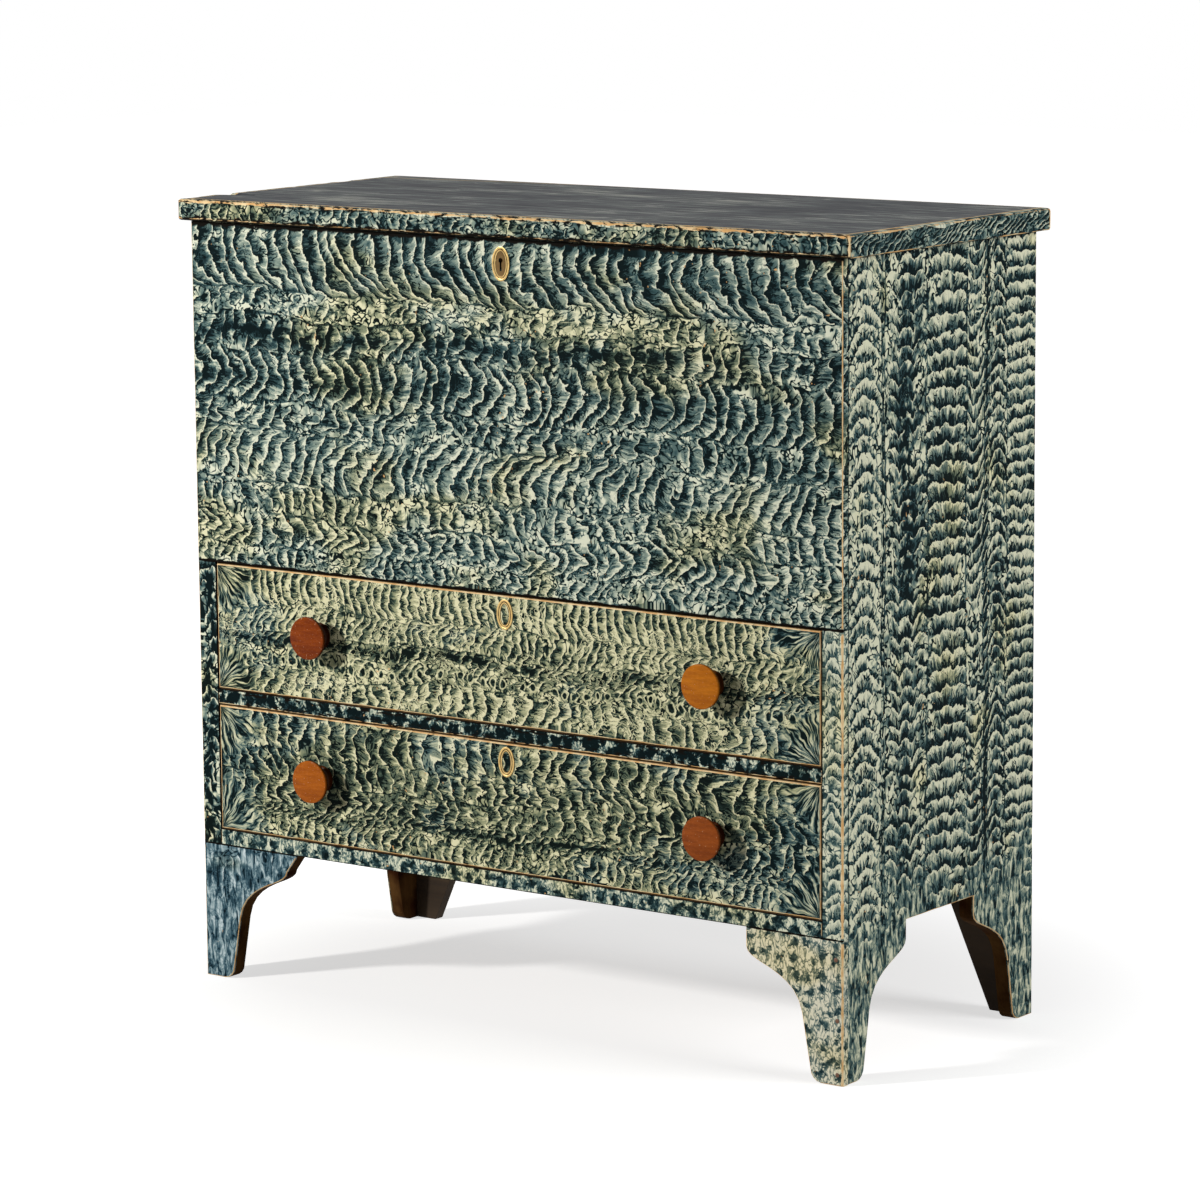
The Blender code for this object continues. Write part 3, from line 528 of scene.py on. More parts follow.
def paint(name, node, seed, rows, across="Z", run=None, show=("-Y",), olive=0.3, cream=0.2, tint=(1.0, 1.0, 1.0),
          loose=1.0, grain=1.0, curl=0.4, punch=1.16, reach=0.0012, corner=0.0, joints=None, dabs=None,
          fans=False, flecks=False, streaky=False, ringlets=0.0):
    """Grain paint on the shown faces of one board, and bare wood on the rest.

    across names the axis that the rows are stacked along and run the axis that they follow. olive and cream warm the
    paint, in patches and where it is pale, and punch is its contrast. reach and corner are how far the paint has
    worn back from its edges and from the board's right end. The dark lines that a board is given, by side and width,
    run where it meets other boards, without wear; the wider ones under the lid, along the lid's bottom edge and in
    the gap above the upper drawer are painted shadow. dabs is the size and the tone of dark dabs, flecks breaks the
    edges up into black and cream, streaky drags the paint downwards near the floor, and ringlets is the height of a
    row of small curls.
    """
    material, tree, shader = new_material(name)
    place = object_place(tree)
    low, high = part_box(node)
    at = split(tree, place)
    over, run = "XYZ".index(across), "XYZ".index(run or ("X" if across == "Z" else "Z"))
    u, v = high[run] - at[run], at[over] - low[over]
    # The pattern of the front goes on round the board's corner
    behind = at[1] - low[1]
    if show[0] == "-Y" and run == 0:
        u = u - behind
    if across == "X":
        v = v - behind
    length, width = high[run] - low[run], high[over] - low[over]
    tone, sway = row_tone(tree, u, v, width, rows, seed, loose, grain, curl)
    if ringlets:
        tone = ring_row(tree, place, tone, u, v - ringlets + sway * 0.05, seed)
    drift = cloud_at(tree, u * 5.0, v * 8.0, seed + 2.0, 3.0, 0.6)
    if fans:
        found = use(tree, FANS, {"Place": place, "Tone": tone, "Near End": u.least(length - u),
                                 "Near Side": v.least(width - v), "Seed": seed})
        tone, drift = found["Tone"], drift - found["Cool"]
    if dabs:
        tone = use(tree, DABS, {"U": u, "V": v, "Tone": tone, "Size": dabs[0], "Dark": dabs[1], "Seed": seed})["Tone"]
    if streaky:
        found = use(tree, DRAGGED, {"Place": place, "Tone": tone, "Seed": seed})
        tone, drift = found["Tone"], drift - found["Cool"]
    tone = ((tone - MID_TONE) * punch + MID_TONE).clamp()
    colour = use(tree, PAINT, {"Place": place, "Tone": tone, "Drift": drift, "Olive": olive, "Cream": cream,
                               "Tint": (*tint, 1.0)})["Colour"]
    # Bare wood along rubbed edges, and dark lines where boards meet, some of them painted shadow by the lid and above
    # the upper drawer
    edges = use(tree, WEAR, {"Position": place, "Low": low, "High": high, "Reach": reach})
    strip = Value(tree, add(tree, "ShaderNodeAttribute", attribute_name="rubbed").outputs["Fac"])
    rag = cloud(tree, place, 70.0, 3.0, 0.6)
    worn = edges["Mask"].most(strip * rag.ramp(0.30, 0.42))
    if flecks:
        found = use(tree, FLECKS, {"U": u, "V": v, "Edge": edges["Edge"], "Seed": seed})
        colour, worn = blend(tree, found["Soot"], colour, SOOT_AND_SHADOW), worn * found["Kept"]
    if corner:
        edge = face_gap(at, low, high, "+X").most(face_gap(at, low, high, "-Y")) - rag * (corner * 2.0)
        worn = worn.most(edge.ramp(-0.0006, 0.0, 1.0, 0.0))
    front = face_gap(at, low, high, show[0]).ramp(0.002, 0.004, 1.0, 0.0) * at[2].ramp(UNDER_CASE, UNDER_CASE + 0.005)
    for side, line in (joints or {}).items():
        gap = face_gap(at, low, high, side)
        worn = worn * gap.ramp(0.002, 0.004)
        ragged = gap + (rag - 0.5) * (line * 4.0)
        colour = blend(tree, ragged.ramp(line, line * 1.6, 1.0, 0.0) * front, colour, SOOT_AND_SHADOW)
    colour = blend(tree, worn, colour, edges["Colour"])
    # Faces that were never painted
    skin = face_gap(at, low, high, show[0])
    for side in show[1:]:
        skin = skin.least(face_gap(at, low, high, side))
    hidden = skin.ramp(0.0022, 0.0026)
    wood, fibres = bare_wood(tree, place, "X" if across == "Z" else "Z", INSIDE_DARK, INSIDE_LIGHT, seed)
    wood = use(tree, NEAR_FLOOR_DARKENING, {"Place": place, "Colour": wood})["Colour"]
    dress(tree, shader, blend(tree, hidden, colour, wood), mix(tree, hidden.most(worn), 0.58, 0.8),
          mix(tree, hidden, tone + worn * -1.5, fibres), 0.25, 0.0006, Specular_IOR_Level=0.02)
    return material


def pine(name, grain, dark, light, seed):
    """Bare old pine, its grain along an axis."""
    material, tree, shader = new_material(name)
    colour, rough = bare_wood(tree, object_place(tree), grain, dark, light, seed)
    dress(tree, shader, colour, rough * 0.25 + 0.6, rough, 0.35, 0.0005, Specular_IOR_Level=0.2)
    return material


# The lid's dark paint, lifted lighter as painted sheen on its top, since its shader reflects very little
LID_TONES_WITH_SHEEN = [(0.15, (0.026, 0.027, 0.032)), (0.45, (0.084, 0.092, 0.099)), (0.70, (0.170, 0.184, 0.182)),
             (1.0, (0.46, 0.47, 0.42))]
LID_SEAM = (0.42, 0.34, 0.22)
# The pale seam's distance from the lid's rear edge: how it changes along the lid, and at the lid's middle
SEAM_SLOPE, SEAM_MIDDLE = -0.109, -0.0185


def lid_paint(name, node):
    """The lid's dark top, streaked and scratched along its length and lightened by painted sheen, over bare wood
    underneath.
    """
    material, tree, shader = new_material(name)
    place = object_place(tree)
    low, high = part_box(node)
    x, y, z = at = split(tree, place)
    streak = cloud_at(tree, x * 11.0, y * 170.0, z, 4.0, 0.7, 0.3)
    cloudy = cloud_at(tree, x * 5.0, y * 14.0, z, 3.0)
    scratch = squiggle(tree, x * 5.0, y * 55.0, z, 0.02) * cloudy.ramp(0.46, 0.6)
    tone = (streak - 0.5) * 2.8 + (cloudy - 0.5) * 1.1 + scratch * 0.4 + 0.46
    colour = colours(tree, tone, LID_TONES_WITH_SHEEN)[0]
    seam = abs(face_gap(at, low, high, "+Y") - (x * SEAM_SLOPE + SEAM_MIDDLE)).ramp(0.0020, 0.0045, 1.0, 0.0)
    colour = blend(tree, seam * cloudy.ramp(0.25, 0.4), colour, LID_SEAM)
    wear = use(tree, WEAR, {"Position": place, "Low": low, "High": high, "Reach": 0.002})["Mask"]
    colour = blend(tree, wear, colour, BARE_PALE)
    hidden = face_gap(at, low, high, "+Z").ramp(0.008, 0.009)
    wood, grain = bare_wood(tree, place, "X", INSIDE_DARK, INSIDE_LIGHT, 3.0)
    dress(tree, shader, blend(tree, hidden, colour, wood), mix(tree, hidden, streak * 0.25 + 0.42, 0.75),
          mix(tree, hidden, tone, grain), 0.2, 0.0004, Specular_IOR_Level=0.02)
    return material


def turned_wood(name, node, dark, light):
    """Varnished hardwood turned about the knob's own axis, with pores, specks and faint tool rings, and painted shade
    that turns it near black behind its face.
    """
    material, tree, shader = new_material(name)
    low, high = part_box(node)
    middle = (low + high) / 2
    place = object_place(tree)
    x, y, z = split(tree, place)
    x, z = x - middle.x, z - middle.z
    far = (x * x + z * z) ** 0.5
    figure = cloud_at(tree, x * 30.0, y * 60.0, z * 150.0, 3.0, 0.6, 0.8)
    pores = cloud_at(tree, x * 260.0, y * 300.0, z * 900.0)
    rings = (far * 3600.0 + figure * 3.0).sine()
    tone = figure * 1.3 + pores * 0.35 + rings * 0.02 - 0.40
    colour = blend(tree, tone.clamp(), dark, light)
    specks = cloud(tree, place, 420.0, 1.0).ramp(0.70, 0.74)
    colour = blend(tree, specks * 0.5, colour, (0.62, 0.40, 0.22))
    # Painted shade: behind its face, over its rim, back and neck, the knob turns near black, where it lies in its own
    # shadow
    back_shade = (y - low.y).ramp(0.0016, 0.0050) * (cloud(tree, place, 90.0) * 0.4 + 0.65)
    colour = blend(tree, back_shade.clamp(), colour, (0.022, 0.006, 0.002))
    dress(tree, shader, colour, pores * 0.2 + 0.16, rings * 0.3 + pores, 0.12, 0.0003, Specular_IOR_Level=0.07)
    return material


def aged_brass(name, node):
    """Pressed brass, brown in its hollows from tarnish and painted shade, and rubbed bright where it stands up."""
    material, tree, shader = new_material(name)
    low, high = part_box(node)
    place = object_place(tree)
    deep = split(tree, place)[1] - low.y
    blotch = cloud(tree, place, 240.0, 3.0, 0.6)
    # Tarnish and painted shade: the brass turns dark brown where it lies deep, towards its back
    hollow = (deep / (high.y - low.y) + (blotch - 0.5) * 0.4).ramp(0.44, 0.66)
    colour = blend(tree, hollow, (0.64, 0.46, 0.19), (0.075, 0.045, 0.016))
    dress(tree, shader, colour, blotch * 0.3 + 0.25, blotch, 0.15, 0.0003, Metallic=0.9)
    return material


def old_iron(name, rust):
    """Dark forged iron, with a share of it rusted."""
    material, tree, shader = new_material(name)
    blotch = cloud(tree, object_place(tree), 160.0, 4.0, 0.65)
    red = blotch.ramp(0.75 - rust * 0.5, 0.9 - rust * 0.5)
    colour = blend(tree, red, (0.075, 0.07, 0.068), (0.115, 0.045, 0.018))
    dress(tree, shader, colour, blotch * 0.35 + 0.35, blotch, 0.3, 0.0004)
    plug(tree, shader.inputs["Metallic"], mix(tree, red, 0.85, 0.1))
    return material


# Rows of paint, from a board's bottom, its left or its front. Each row has its height and pitch in millimetres,
# then bow, slant, lobes, lobe depth, feather, mottle, dark and lift
FRONT_ROWS = [
    (30, 15, 0.3, 0.2, 0.0, 0.0, 0.7, 0.75, 0.1, 0.02),
    (40, 20, -0.4, 0.1, 1.0, 0.4, 0.8, 0.45, 0.3, 0.02),
    (36, 18, 0.2, -0.3, 0.0, 0.0, 0.7, 0.70, 0.2, 0.03),
    (62, 20, 0.5, 0.8, 0.0, 0.0, 0.7, 0.40, 0.1, 0.02),
    (38, 22, 0.2, 0.3, 1.0, 0.3, 0.8, 0.60, 0.4, -0.02),
    (66, 21, -0.8, 0.2, 1.0, 0.2, 0.7, 0.25, 0.5, -0.04),
    (40, 21, 0.2, 0.2, 1.0, 0.4, 0.8, 0.50, 0.9, -0.06),
    (34, 20, 0.1, 0.2, 0.0, 0.0, 0.7, 0.85, 0.1, 0.04),
    (78, 22, 0.9, -0.9, 0.0, 0.0, 0.5, 0.20, 0.5, -0.04),
]
UPPER_ROWS = [
    (34, 19, 0.3, 0.2, 1.0, 0.5, 0.7, 0.35, 0.2, 0.09),
    (28, 13, 0.7, 0.3, 0.0, 0.0, 0.8, 0.75, 0.2, 0.06),
    (18, 13, 0.2, 0.5, 0.0, 0.0, 0.7, 0.45, 1.2, -0.06),
    (33, 13, 0.3, 0.6, 0.0, 0.0, 0.7, 0.50, 0.3, 0.08),
    (44, 13, 0.4, -0.2, 0.0, 0.0, 0.6, 0.25, 0.2, 0.10),
]
LOWER_ROWS = [
    (30, 14, 0.3, 0.5, 0.0, 0.0, 0.8, 0.60, 0.2, 0.00),
    (16, 13, 0.2, 0.5, 0.0, 0.0, 0.7, 0.45, 1.0, -0.06),
    (34, 20, 0.4, 0.3, 1.0, 0.4, 0.8, 0.50, 0.4, -0.04),
    (30, 19, 0.3, -0.3, 1.0, 0.5, 0.7, 0.40, 0.4, -0.04),
    (47, 21, 0.4, 0.2, 0.0, 0.0, 0.7, 0.30, 0.3, -0.02),
]
SIDE_ROWS = [
    (69, 21, -0.9, 0.0, 1.0, 0.3, 0.8, 0.60, 0.0, 0.12),
    (7, 20, 0.0, 0.0, 0.0, 0.0, 0.8, 0.75, 1.0, -0.08),
    (92, 20, 0.2, 0.0, 3.0, 0.5, 0.8, 0.60, 0.9, 0.0),
    (86, 22, -0.2, 0.0, 3.0, 0.2, 0.7, 0.30, 0.2, 0.01),
    (40, 18, 0.9, 0.2, 0.0, 0.0, 0.8, 0.60, 0.4, 0.01),
    (10, 16, 0.0, 0.4, 0.0, 0.0, 0.8, 0.40, 1.3, -0.22),
    (41, 17, -1.2, 0.0, 0.0, 0.0, 0.8, 0.50, 0.5, -0.01),
    (66, 18, -0.1, 0.0, 2.0, 0.2, 0.7, 0.15, 0.0, 0.06),
]
RAIL_ROWS = [(20, 26, 0.3, 0.2, 0.0, 0.0, 0.8, 0.80, 0.2, 0.02)]
STILE_ROWS = [(28, 17, -0.5, 0.1, 1.0, 0.3, 0.7, 0.50, 0.1, 0.16)]
DARK_STILE_ROWS = [(28, 19, -0.5, 0.1, 1.0, 0.3, 0.7, 0.55, 0.9, -0.08)]
LID_ROWS = [(27, 14, 0.3, 0.2, 0.0, 0.0, 0.9, 0.90, 0.3, -0.10)]
LID_SIDE_ROWS = [(27, 13, 0.2, 1.6, 0.0, 0.0, 0.9, 0.55, 0.7, -0.12)]
LEFT_FOOT_ROWS = [
    (60, 13, 0.3, 0.2, 1.0, 0.4, 0.5, 0.85, 0.1, -0.06),
    (60, 12, -0.4, 0.1, 0.0, 0.0, 0.5, 0.90, 0.1, -0.06),
    (52, 13, 0.3, 0.2, 1.0, 0.4, 0.5, 0.85, 0.1, -0.06),
]
RIGHT_FOOT_ROWS = [
    (60, 15, 0.3, 0.2, 1.0, 0.4, 0.8, 0.90, 0.0, 0.22),
    (60, 14, -0.4, 0.1, 0.0, 0.0, 0.8, 0.95, 0.0, 0.22),
    (52, 16, 0.3, 0.2, 1.0, 0.4, 0.8, 0.90, 0.0, 0.22),
]

HAIRLINE = 0.0007
# The sides' dark line along their top is painted shadow under the lid's strips; the hairline at their front is where
# they meet the front boards
SIDE_LOOK = dict(rows=SIDE_ROWS, across="Y", olive=0.15, cream=0.4, loose=0.35, grain=0.75, punch=1.55,
                 joints={"-Y": HAIRLINE, "+Z": 0.0012}, streaky=True)
# The lid strips' wide dark line along their bottom edge is painted shadow beneath the lid
LID_LOOK = dict(rows=LID_ROWS, reach=0.0036, joints={"-Z": 0.0038}, flecks=True)
BOARDS = {
    # The front board's dark lines are painted shadow: along its top under the lid's overhang, and along its bottom in
    # the gap above the upper drawer
    "front_board": dict(rows=FRONT_ROWS, show=("-Y", "-X", "+X"), cream=0.08, corner=0.0009,
                        joints={"-Z": 0.0016, "+Z": 0.0032}),
    "upper_drawer_front": dict(rows=UPPER_ROWS, olive=0.75, cream=0.5, curl=0.9, fans=True, ringlets=0.046),
    "lower_drawer_front": dict(rows=LOWER_ROWS, olive=0.55, cream=0.5, curl=0.6, fans=True),
    "right_side": dict(SIDE_LOOK, show=("+X",)),
    "left_side": dict(SIDE_LOOK, show=("-X",)),
    "left_stile": dict(rows=DARK_STILE_ROWS, across="X", show=("-Y", "-X"), punch=1.8,
                       joints=dict.fromkeys(("-Z", "+Z", "+X"), HAIRLINE)),
    "right_stile": dict(rows=STILE_ROWS, across="X", show=("-Y", "+X"), corner=0.0022,
                        joints=dict.fromkeys(("-Z", "+Z", "-X"), HAIRLINE)),
    "drawer_divider": dict(rows=RAIL_ROWS, dabs=(0.50, 0.08), olive=0.0, joints={"+Z": HAIRLINE}, flecks=True),
    "bottom_rail": dict(rows=RAIL_ROWS, dabs=(0.36, 0.2), joints=dict.fromkeys(("+Z", "-Z"), HAIRLINE)),
    "left_front_foot": dict(rows=LEFT_FOOT_ROWS, show=("-Y", "-X"), olive=0.0, cream=0.0, tint=(0.93, 1.02, 1.30),
                            joints={"+Z": HAIRLINE}, streaky=True),
    "right_front_foot": dict(rows=RIGHT_FOOT_ROWS, show=("-Y", "+X"), olive=0.35, tint=(1.06, 1.0, 1.02),
                             dabs=(0.24, 0.29), corner=0.0022, joints={"+Z": HAIRLINE}),
    "lid_front_strip": dict(LID_LOOK, show=("-Y", "+Z", "-Z", "-X", "+X"), corner=0.0045),
    "lid_left_strip": dict(LID_LOOK, run="Y", show=("-X", "+Z", "-Z")),
    "lid_right_strip": dict(rows=LID_SIDE_ROWS, run="Y", show=("+X", "+Z", "-Z"), olive=0.0, reach=0.0022),
}
SEEDS = {node: k + 1.0 for k, node in enumerate(BOARDS)}
PAINTS = {node: paint(f"paint_{node}", node, SEEDS[node], **look) for node, look in BOARDS.items()}
FRONT_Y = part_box("front_board")[0].y


# Shapes

ON_PLANE = 1e-5


def add_object(name, data):
    made = bpy.data.objects.new(name, data)
    bpy.context.scene.collection.objects.link(made)
    return made


def piece(name, mesh, materials, like, slot, *nodes):
    """Add a finished mesh that rides with the body of a CAD node and may stand for some nodes."""
    for material in materials:
        mesh.materials.append(material)
    made = add_object(name, mesh)
    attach(made, body_of(NODES[like])[0])
    if nodes:
        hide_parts(*nodes)


def welded(node):
    """A copy of a CAD node's mesh with its loose triangles joined into flat faces."""
    bm = bmesh.new()
    bm.from_mesh(NODES[node].data)
    bmesh.ops.remove_doubles(bm, verts=bm.verts, dist=ON_PLANE)
    bmesh.ops.dissolve_limit(bm, angle_limit=0.01, verts=bm.verts, edges=bm.edges)
    return bm


def smoothed(mesh, degrees):
    """Shade a mesh smooth across edges below an angle."""
    mesh.shade_smooth()
    mesh.set_sharp_from_angle(angle=math.radians(degrees))
    return mesh


def to_mesh(bm, name):
    bmesh.ops.recalc_face_normals(bm, faces=bm.faces)
    mesh = bpy.data.meshes.new(name)
    bm.to_mesh(mesh)
    bm.free()
    return mesh


def chips(place, seed, scale=45.0):
    """How deeply an edge is worn at a place, from 0 to about 1: even wear with a few deeper chips."""
    even = noise.noise(place * scale + Vector((seed, 0, 0))) * 0.5 + 0.5
    deep = noise.noise(place * scale * 0.45 + Vector((0, seed, 7.0)))
    return even * 0.35 + max(0.0, deep - 0.28) * 1.6


def in_steps(bm, edge, step):
    """Split an edge in halves until no part is longer than a step."""
    left, done = [edge], []
    while left:
        part = left.pop()
        if part.calc_length() > step:
            left += [part, bmesh.utils.edge_split(part, part.verts[0], 0.5)[0]]
        else:
            done.append(part)
    return done


WEAR_STEP = 0.007
SHARP = 0.5


def rubbed(node, side, radius, chip, seed, shortest, joints):
    """A board from the CAD with the edges of its shown face rounded and chipped by wear.

    The strips of worn wood carry the attribute rubbed. Edges shorter than shortest, or on a side that holds a dark
    line where boards meet or a painted shadow line, stay as they are.
    """
    bm = welded(node)
    low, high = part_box(node)
    axis = "XYZ".index(side[1])
    plane = low[axis] if side[0] == "-" else high[axis]
    inward = Vector()
    inward[axis] = 1.0 if side[0] == "-" else -1.0
    worn = bm.faces.layers.float.new("rubbed")

    def on_lined_side(edge):
        return any(all(abs(face_gap(v.co, low, high, lined_side)) < 1e-4 for v in edge.verts) for lined_side in joints)

    edges = [e for e in bm.edges if e.is_manifold and e.calc_face_angle() > SHARP and e.calc_length() > shortest
             and all(abs(v.co[axis] - plane) < ON_PLANE for v in e.verts) and not on_lined_side(e)]
    edges = [part for edge in edges for part in in_steps(bm, edge, WEAR_STEP)]
    made = bmesh.ops.bevel(bm, geom=edges, offset=radius, segments=2, profile=0.5, affect="EDGES",
                           clamp_overlap=True)
    for face in made["faces"]:
        face[worn] = 1.0
    # Wear goes back over the shown face, down the side, and between the two in the middle of the strip
    depth = {v: (v.co[axis] - plane) * inward[axis] for v in made["verts"]}
    side_depth = radius * 0.9
    shift = {}
    for v in (v for v in depth if ON_PLANE < depth[v] < side_depth):
        amount = chips(v.co, seed) * chip
        shift[v] = inward * amount * 0.6
        for edge in v.link_edges:
            other = edge.other_vert(v)
            if other in depth and depth[other] <= ON_PLANE:
                away = other.co - v.co
                away = (away - inward * away.dot(inward)).normalized()
                shift[other] = away * amount
                shift[v] = shift[v] + away * amount * 0.6
            elif other in depth and depth[other] >= side_depth:
                shift[other] = inward * amount
    for v, by in shift.items():
        v.co += by
    return to_mesh(bm, node)


def prism(outline, along):
    """A closed solid swept from an outline by a vector."""
    bm = bmesh.new()
    ends = [[bm.verts.new(Vector(point) + shift) for point in outline] for shift in (Vector(), along)]
    for end in ends:
        bm.faces.new(end)
    for k in range(len(outline)):
        bm.faces.new((ends[0][k - 1], ends[0][k], ends[1][k], ends[1][k - 1]))
    return bm


def result_of(obj):
    """A plain mesh of an object with its modifiers applied."""
    return bpy.data.meshes.new_from_object(obj.evaluated_get(bpy.context.evaluated_depsgraph_get()))


def carved(bm, cutter):
    """A mesh of one solid less another."""
    made = [add_object("carving", to_mesh(part, "carving")) for part in (bm, cutter)]
    change = made[0].modifiers.new("cut", "BOOLEAN")
    change.operation = "DIFFERENCE"
    change.solver = "EXACT"
    change.object = made[1]
    mesh = result_of(made[0])
    for obj in made:
        bpy.data.objects.remove(obj)
    return mesh


def loft(rings):
    """A closed solid through rings of as many points each."""
    bm = bmesh.new()
    rows = [[bm.verts.new(point) for point in ring] for ring in rings]
    for a, b in zip(rows, rows[1:]):
        for k in range(len(a)):
            bm.faces.new((a[k - 1], a[k], b[k], b[k - 1]))
    bm.faces.new(rows[0])
    bm.faces.new(rows[-1])
    return bm


def oval(middle, y, wide, high, count):
    """Points round an upright oval that faces the front."""
    turns = [2 * math.pi * k / count for k in range(count)]
    return [Vector((middle.x + wide * math.cos(t), y, middle.z + high * math.sin(t))) for t in turns]


def arc(start, end, bulge, count):
    """Points of a quarter ellipse between two (radius, depth) places, leaving along the first axis if bulge."""
    made = []
    for k in range(1, count + 1):
        t = math.pi / 2 * k / count
        a, b = (math.sin(t), 1 - math.cos(t)) if bulge else (1 - math.cos(t), math.sin(t))
        made.append((start[0] + (end[0] - start[0]) * a, start[1] + (end[1] - start[1]) * b))
    return made


# Fasteners and beads, grown by Geometry Nodes

def grown(group, values, points=()):
    """The plain mesh that a Geometry Nodes group makes from points and named values."""
    mesh = bpy.data.meshes.new("points")
    mesh.from_pydata([tuple(point) for point in points], [], [])
    maker = add_object("maker", mesh)
    change = maker.modifiers.new("grow", "NODES")
    change.node_group = group
    for item in group.interface.items_tree:
        if item.in_out == "INPUT" and item.name in values:
            change[item.identifier] = values[item.name]
    made = result_of(maker)
    bpy.data.objects.remove(maker)
    made.materials.clear()
    made.materials.append(values["Material"])
    return made


def set_out(tree, points, shape, g, facing):
    """Instances of a shape on points, each turned a little about its own axis, as one real mesh."""
    placed = add(tree, "GeometryNodeInstanceOnPoints", {"Points": points, "Instance": shape, "Rotation": facing})
    spin = add(tree, "FunctionNodeRandomValue", {"Seed": g["Seed"]}, data_type="FLOAT")
    turn = vector(tree, 0.0, 0.0, Value(tree, spin.outputs[1]) * math.tau)
    turned = add(tree, "GeometryNodeRotateInstances", {"Instances": placed.outputs[0], "Rotation": turn})
    real = add(tree, "GeometryNodeRealizeInstances", {"Geometry": turned.outputs[0]})
    done = add(tree, "GeometryNodeSetMaterial", {"Geometry": real.outputs[0], "Material": g["Material"]})
    return {"Geometry": done.outputs[0]}


def nail_heads(tree, g):
    """Low domed heads on points."""
    dome = add(tree, "GeometryNodeMeshUVSphere", {"Segments": 10, "Rings": 6, "Radius": 1.0})
    shape = add(tree, "GeometryNodeTransform", {"Geometry": dome.outputs["Mesh"],
                                                "Scale": vector(tree, g["Radius"], g["Radius"], g["Height"])})
    return set_out(tree, g["Geometry"], shape.outputs[0], g, g["Facing"])


def screw_heads(tree, g):
    """Flat heads with a slot, on points."""
    disc = add(tree, "GeometryNodeMeshCylinder", {"Vertices": 20, "Radius": g["Radius"],
                                                  "Depth": g["Height"] * 2.0})
    size = vector(tree, g["Radius"] * 3.0, g["Radius"] * 0.28, g["Height"])
    bar = add(tree, "GeometryNodeMeshCube", {"Size": size})
    slot = add(tree, "GeometryNodeTransform", {"Geometry": bar.outputs["Mesh"],
                                               "Translation": vector(tree, 0.0, 0.0, g["Height"])})
    head = add(tree, "GeometryNodeMeshBoolean", {"Mesh 1": disc.outputs["Mesh"], "Mesh 2": slot.outputs[0]},
               operation="DIFFERENCE")
    return set_out(tree, g["Geometry"], head.outputs[0], g, g["Facing"])


def bead_ring(tree, g):
    """Beads round an upright oval."""
    ring = add(tree, "GeometryNodeCurvePrimitiveCircle", {"Resolution": 96, "Radius": 1.0})
    size = vector(tree, g["Half Width"], g["Half Height"], 1.0)
    shaped = add(tree, "GeometryNodeTransform", {"Geometry": ring.outputs["Curve"], "Scale": size,
                                                 "Rotation": (RIGHT_ANGLE, 0.0, 0.0), "Translation": g["Middle"]})
    spaced = add(tree, "GeometryNodeResampleCurve", {"Curve": shaped.outputs[0], "Count": g["Count"]})
    bead = add(tree, "GeometryNodeMeshUVSphere", {"Segments": 8, "Rings": 5, "Radius": g["Radius"]})
    return set_out(tree, spaced.outputs[0], bead.outputs["Mesh"], g, (0.0, 0.0, 0.0))


RIGHT_ANGLE = math.pi / 2
HEAD_INPUTS = {"Geometry": "Geometry", **floats("Radius", "Height"), "Facing": "Vector", "Seed": "Int",
               "Material": "Material"}
BEAD_INPUTS = {**floats("Half Width", "Half Height"), "Middle": "Vector", "Count": "Int", "Radius": "Float",
               "Seed": "Int", "Material": "Material"}
NAILS, SCREWS, BEADS = (make_group(build.__name__, inputs, {"Geometry": "Geometry"}, build, "GeometryNodeTree")
                        for build, inputs in ((nail_heads, HEAD_INPUTS), (screw_heads, HEAD_INPUTS),
                                              (bead_ring, BEAD_INPUTS)))
FACING = {"+Y": (-RIGHT_ANGLE, 0.0, 0.0), "-Y": (RIGHT_ANGLE, 0.0, 0.0), "+Z": (0.0, 0.0, 0.0),
          "-Z": (math.pi, 0.0, 0.0)}


def heads(name, group, points, side, radius, height, material, like):
    """Nail or screw heads that look one way and ride with a CAD node's body."""
    values = {"Radius": radius, "Height": height, "Facing": FACING[side], "Seed": 5, "Material": material}
    piece(name, grown(group, values, points), [], like, "iron")


# Boards with worn edges: the shown side, the radius of the wear and the depth of its chips

WORN = {
    "front_board": ("-Y", 0.0008, 0.0008), "left_stile": ("-Y", 0.0008, 0.0010),
    "right_stile": ("-Y", 0.0010, 0.0012), "drawer_divider": ("-Y", 0.0007, 0.0008),
    "bottom_rail": ("-Y", 0.0007, 0.0008), "left_front_foot": ("-Y", 0.0009, 0.0012),
    "right_front_foot": ("-Y", 0.0010, 0.0014), "upper_drawer_front": ("-Y", 0.0013, 0.0012),
    "lower_drawer_front": ("-Y", 0.0013, 0.0012), "left_side": ("-X", 0.0009, 0.0010),
    "right_side": ("+X", 0.0009, 0.0010),
}
# Edges below these lengths stay sharp, on boards with a plate or a knob let into them and on the others
PIERCED_SHORTEST, PLAIN_SHORTEST = 0.012, 0.002
for node, (side, radius, chip) in WORN.items():
    pierced = node.endswith("_front") or node == "front_board"
    mesh = rubbed(node, side, radius, chip, SEEDS[node], PIERCED_SHORTEST if pierced else PLAIN_SHORTEST,
                  BOARDS[node].get("joints", {}))
    piece(f"{node}_worn", mesh, [PAINTS[node]], node, "grain_paint", node)


# Lid: strips cut into short lengths so that their edges can be worn away

STRIPS = {"lid_front_strip": 0, "lid_left_strip": 1, "lid_right_strip": 1}
LID_LOW, LID_HIGH = [Vector(map(pick, *(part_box(node)[k] for node in STRIPS))) for k, pick in enumerate((min, max))]
STRIP_STEP = 0.006
RIM, RIM_WEAR = 0.0045, 0.0022
LEFT_CORNER, RIGHT_CORNER, CORNER_WEAR = 0.011, 0.004, 0.0012
# The left end is rubbed round, top and bottom, over this length and this far back
END_LENGTH, END_BACK, END_ROUND = 0.008, 0.030, 0.42


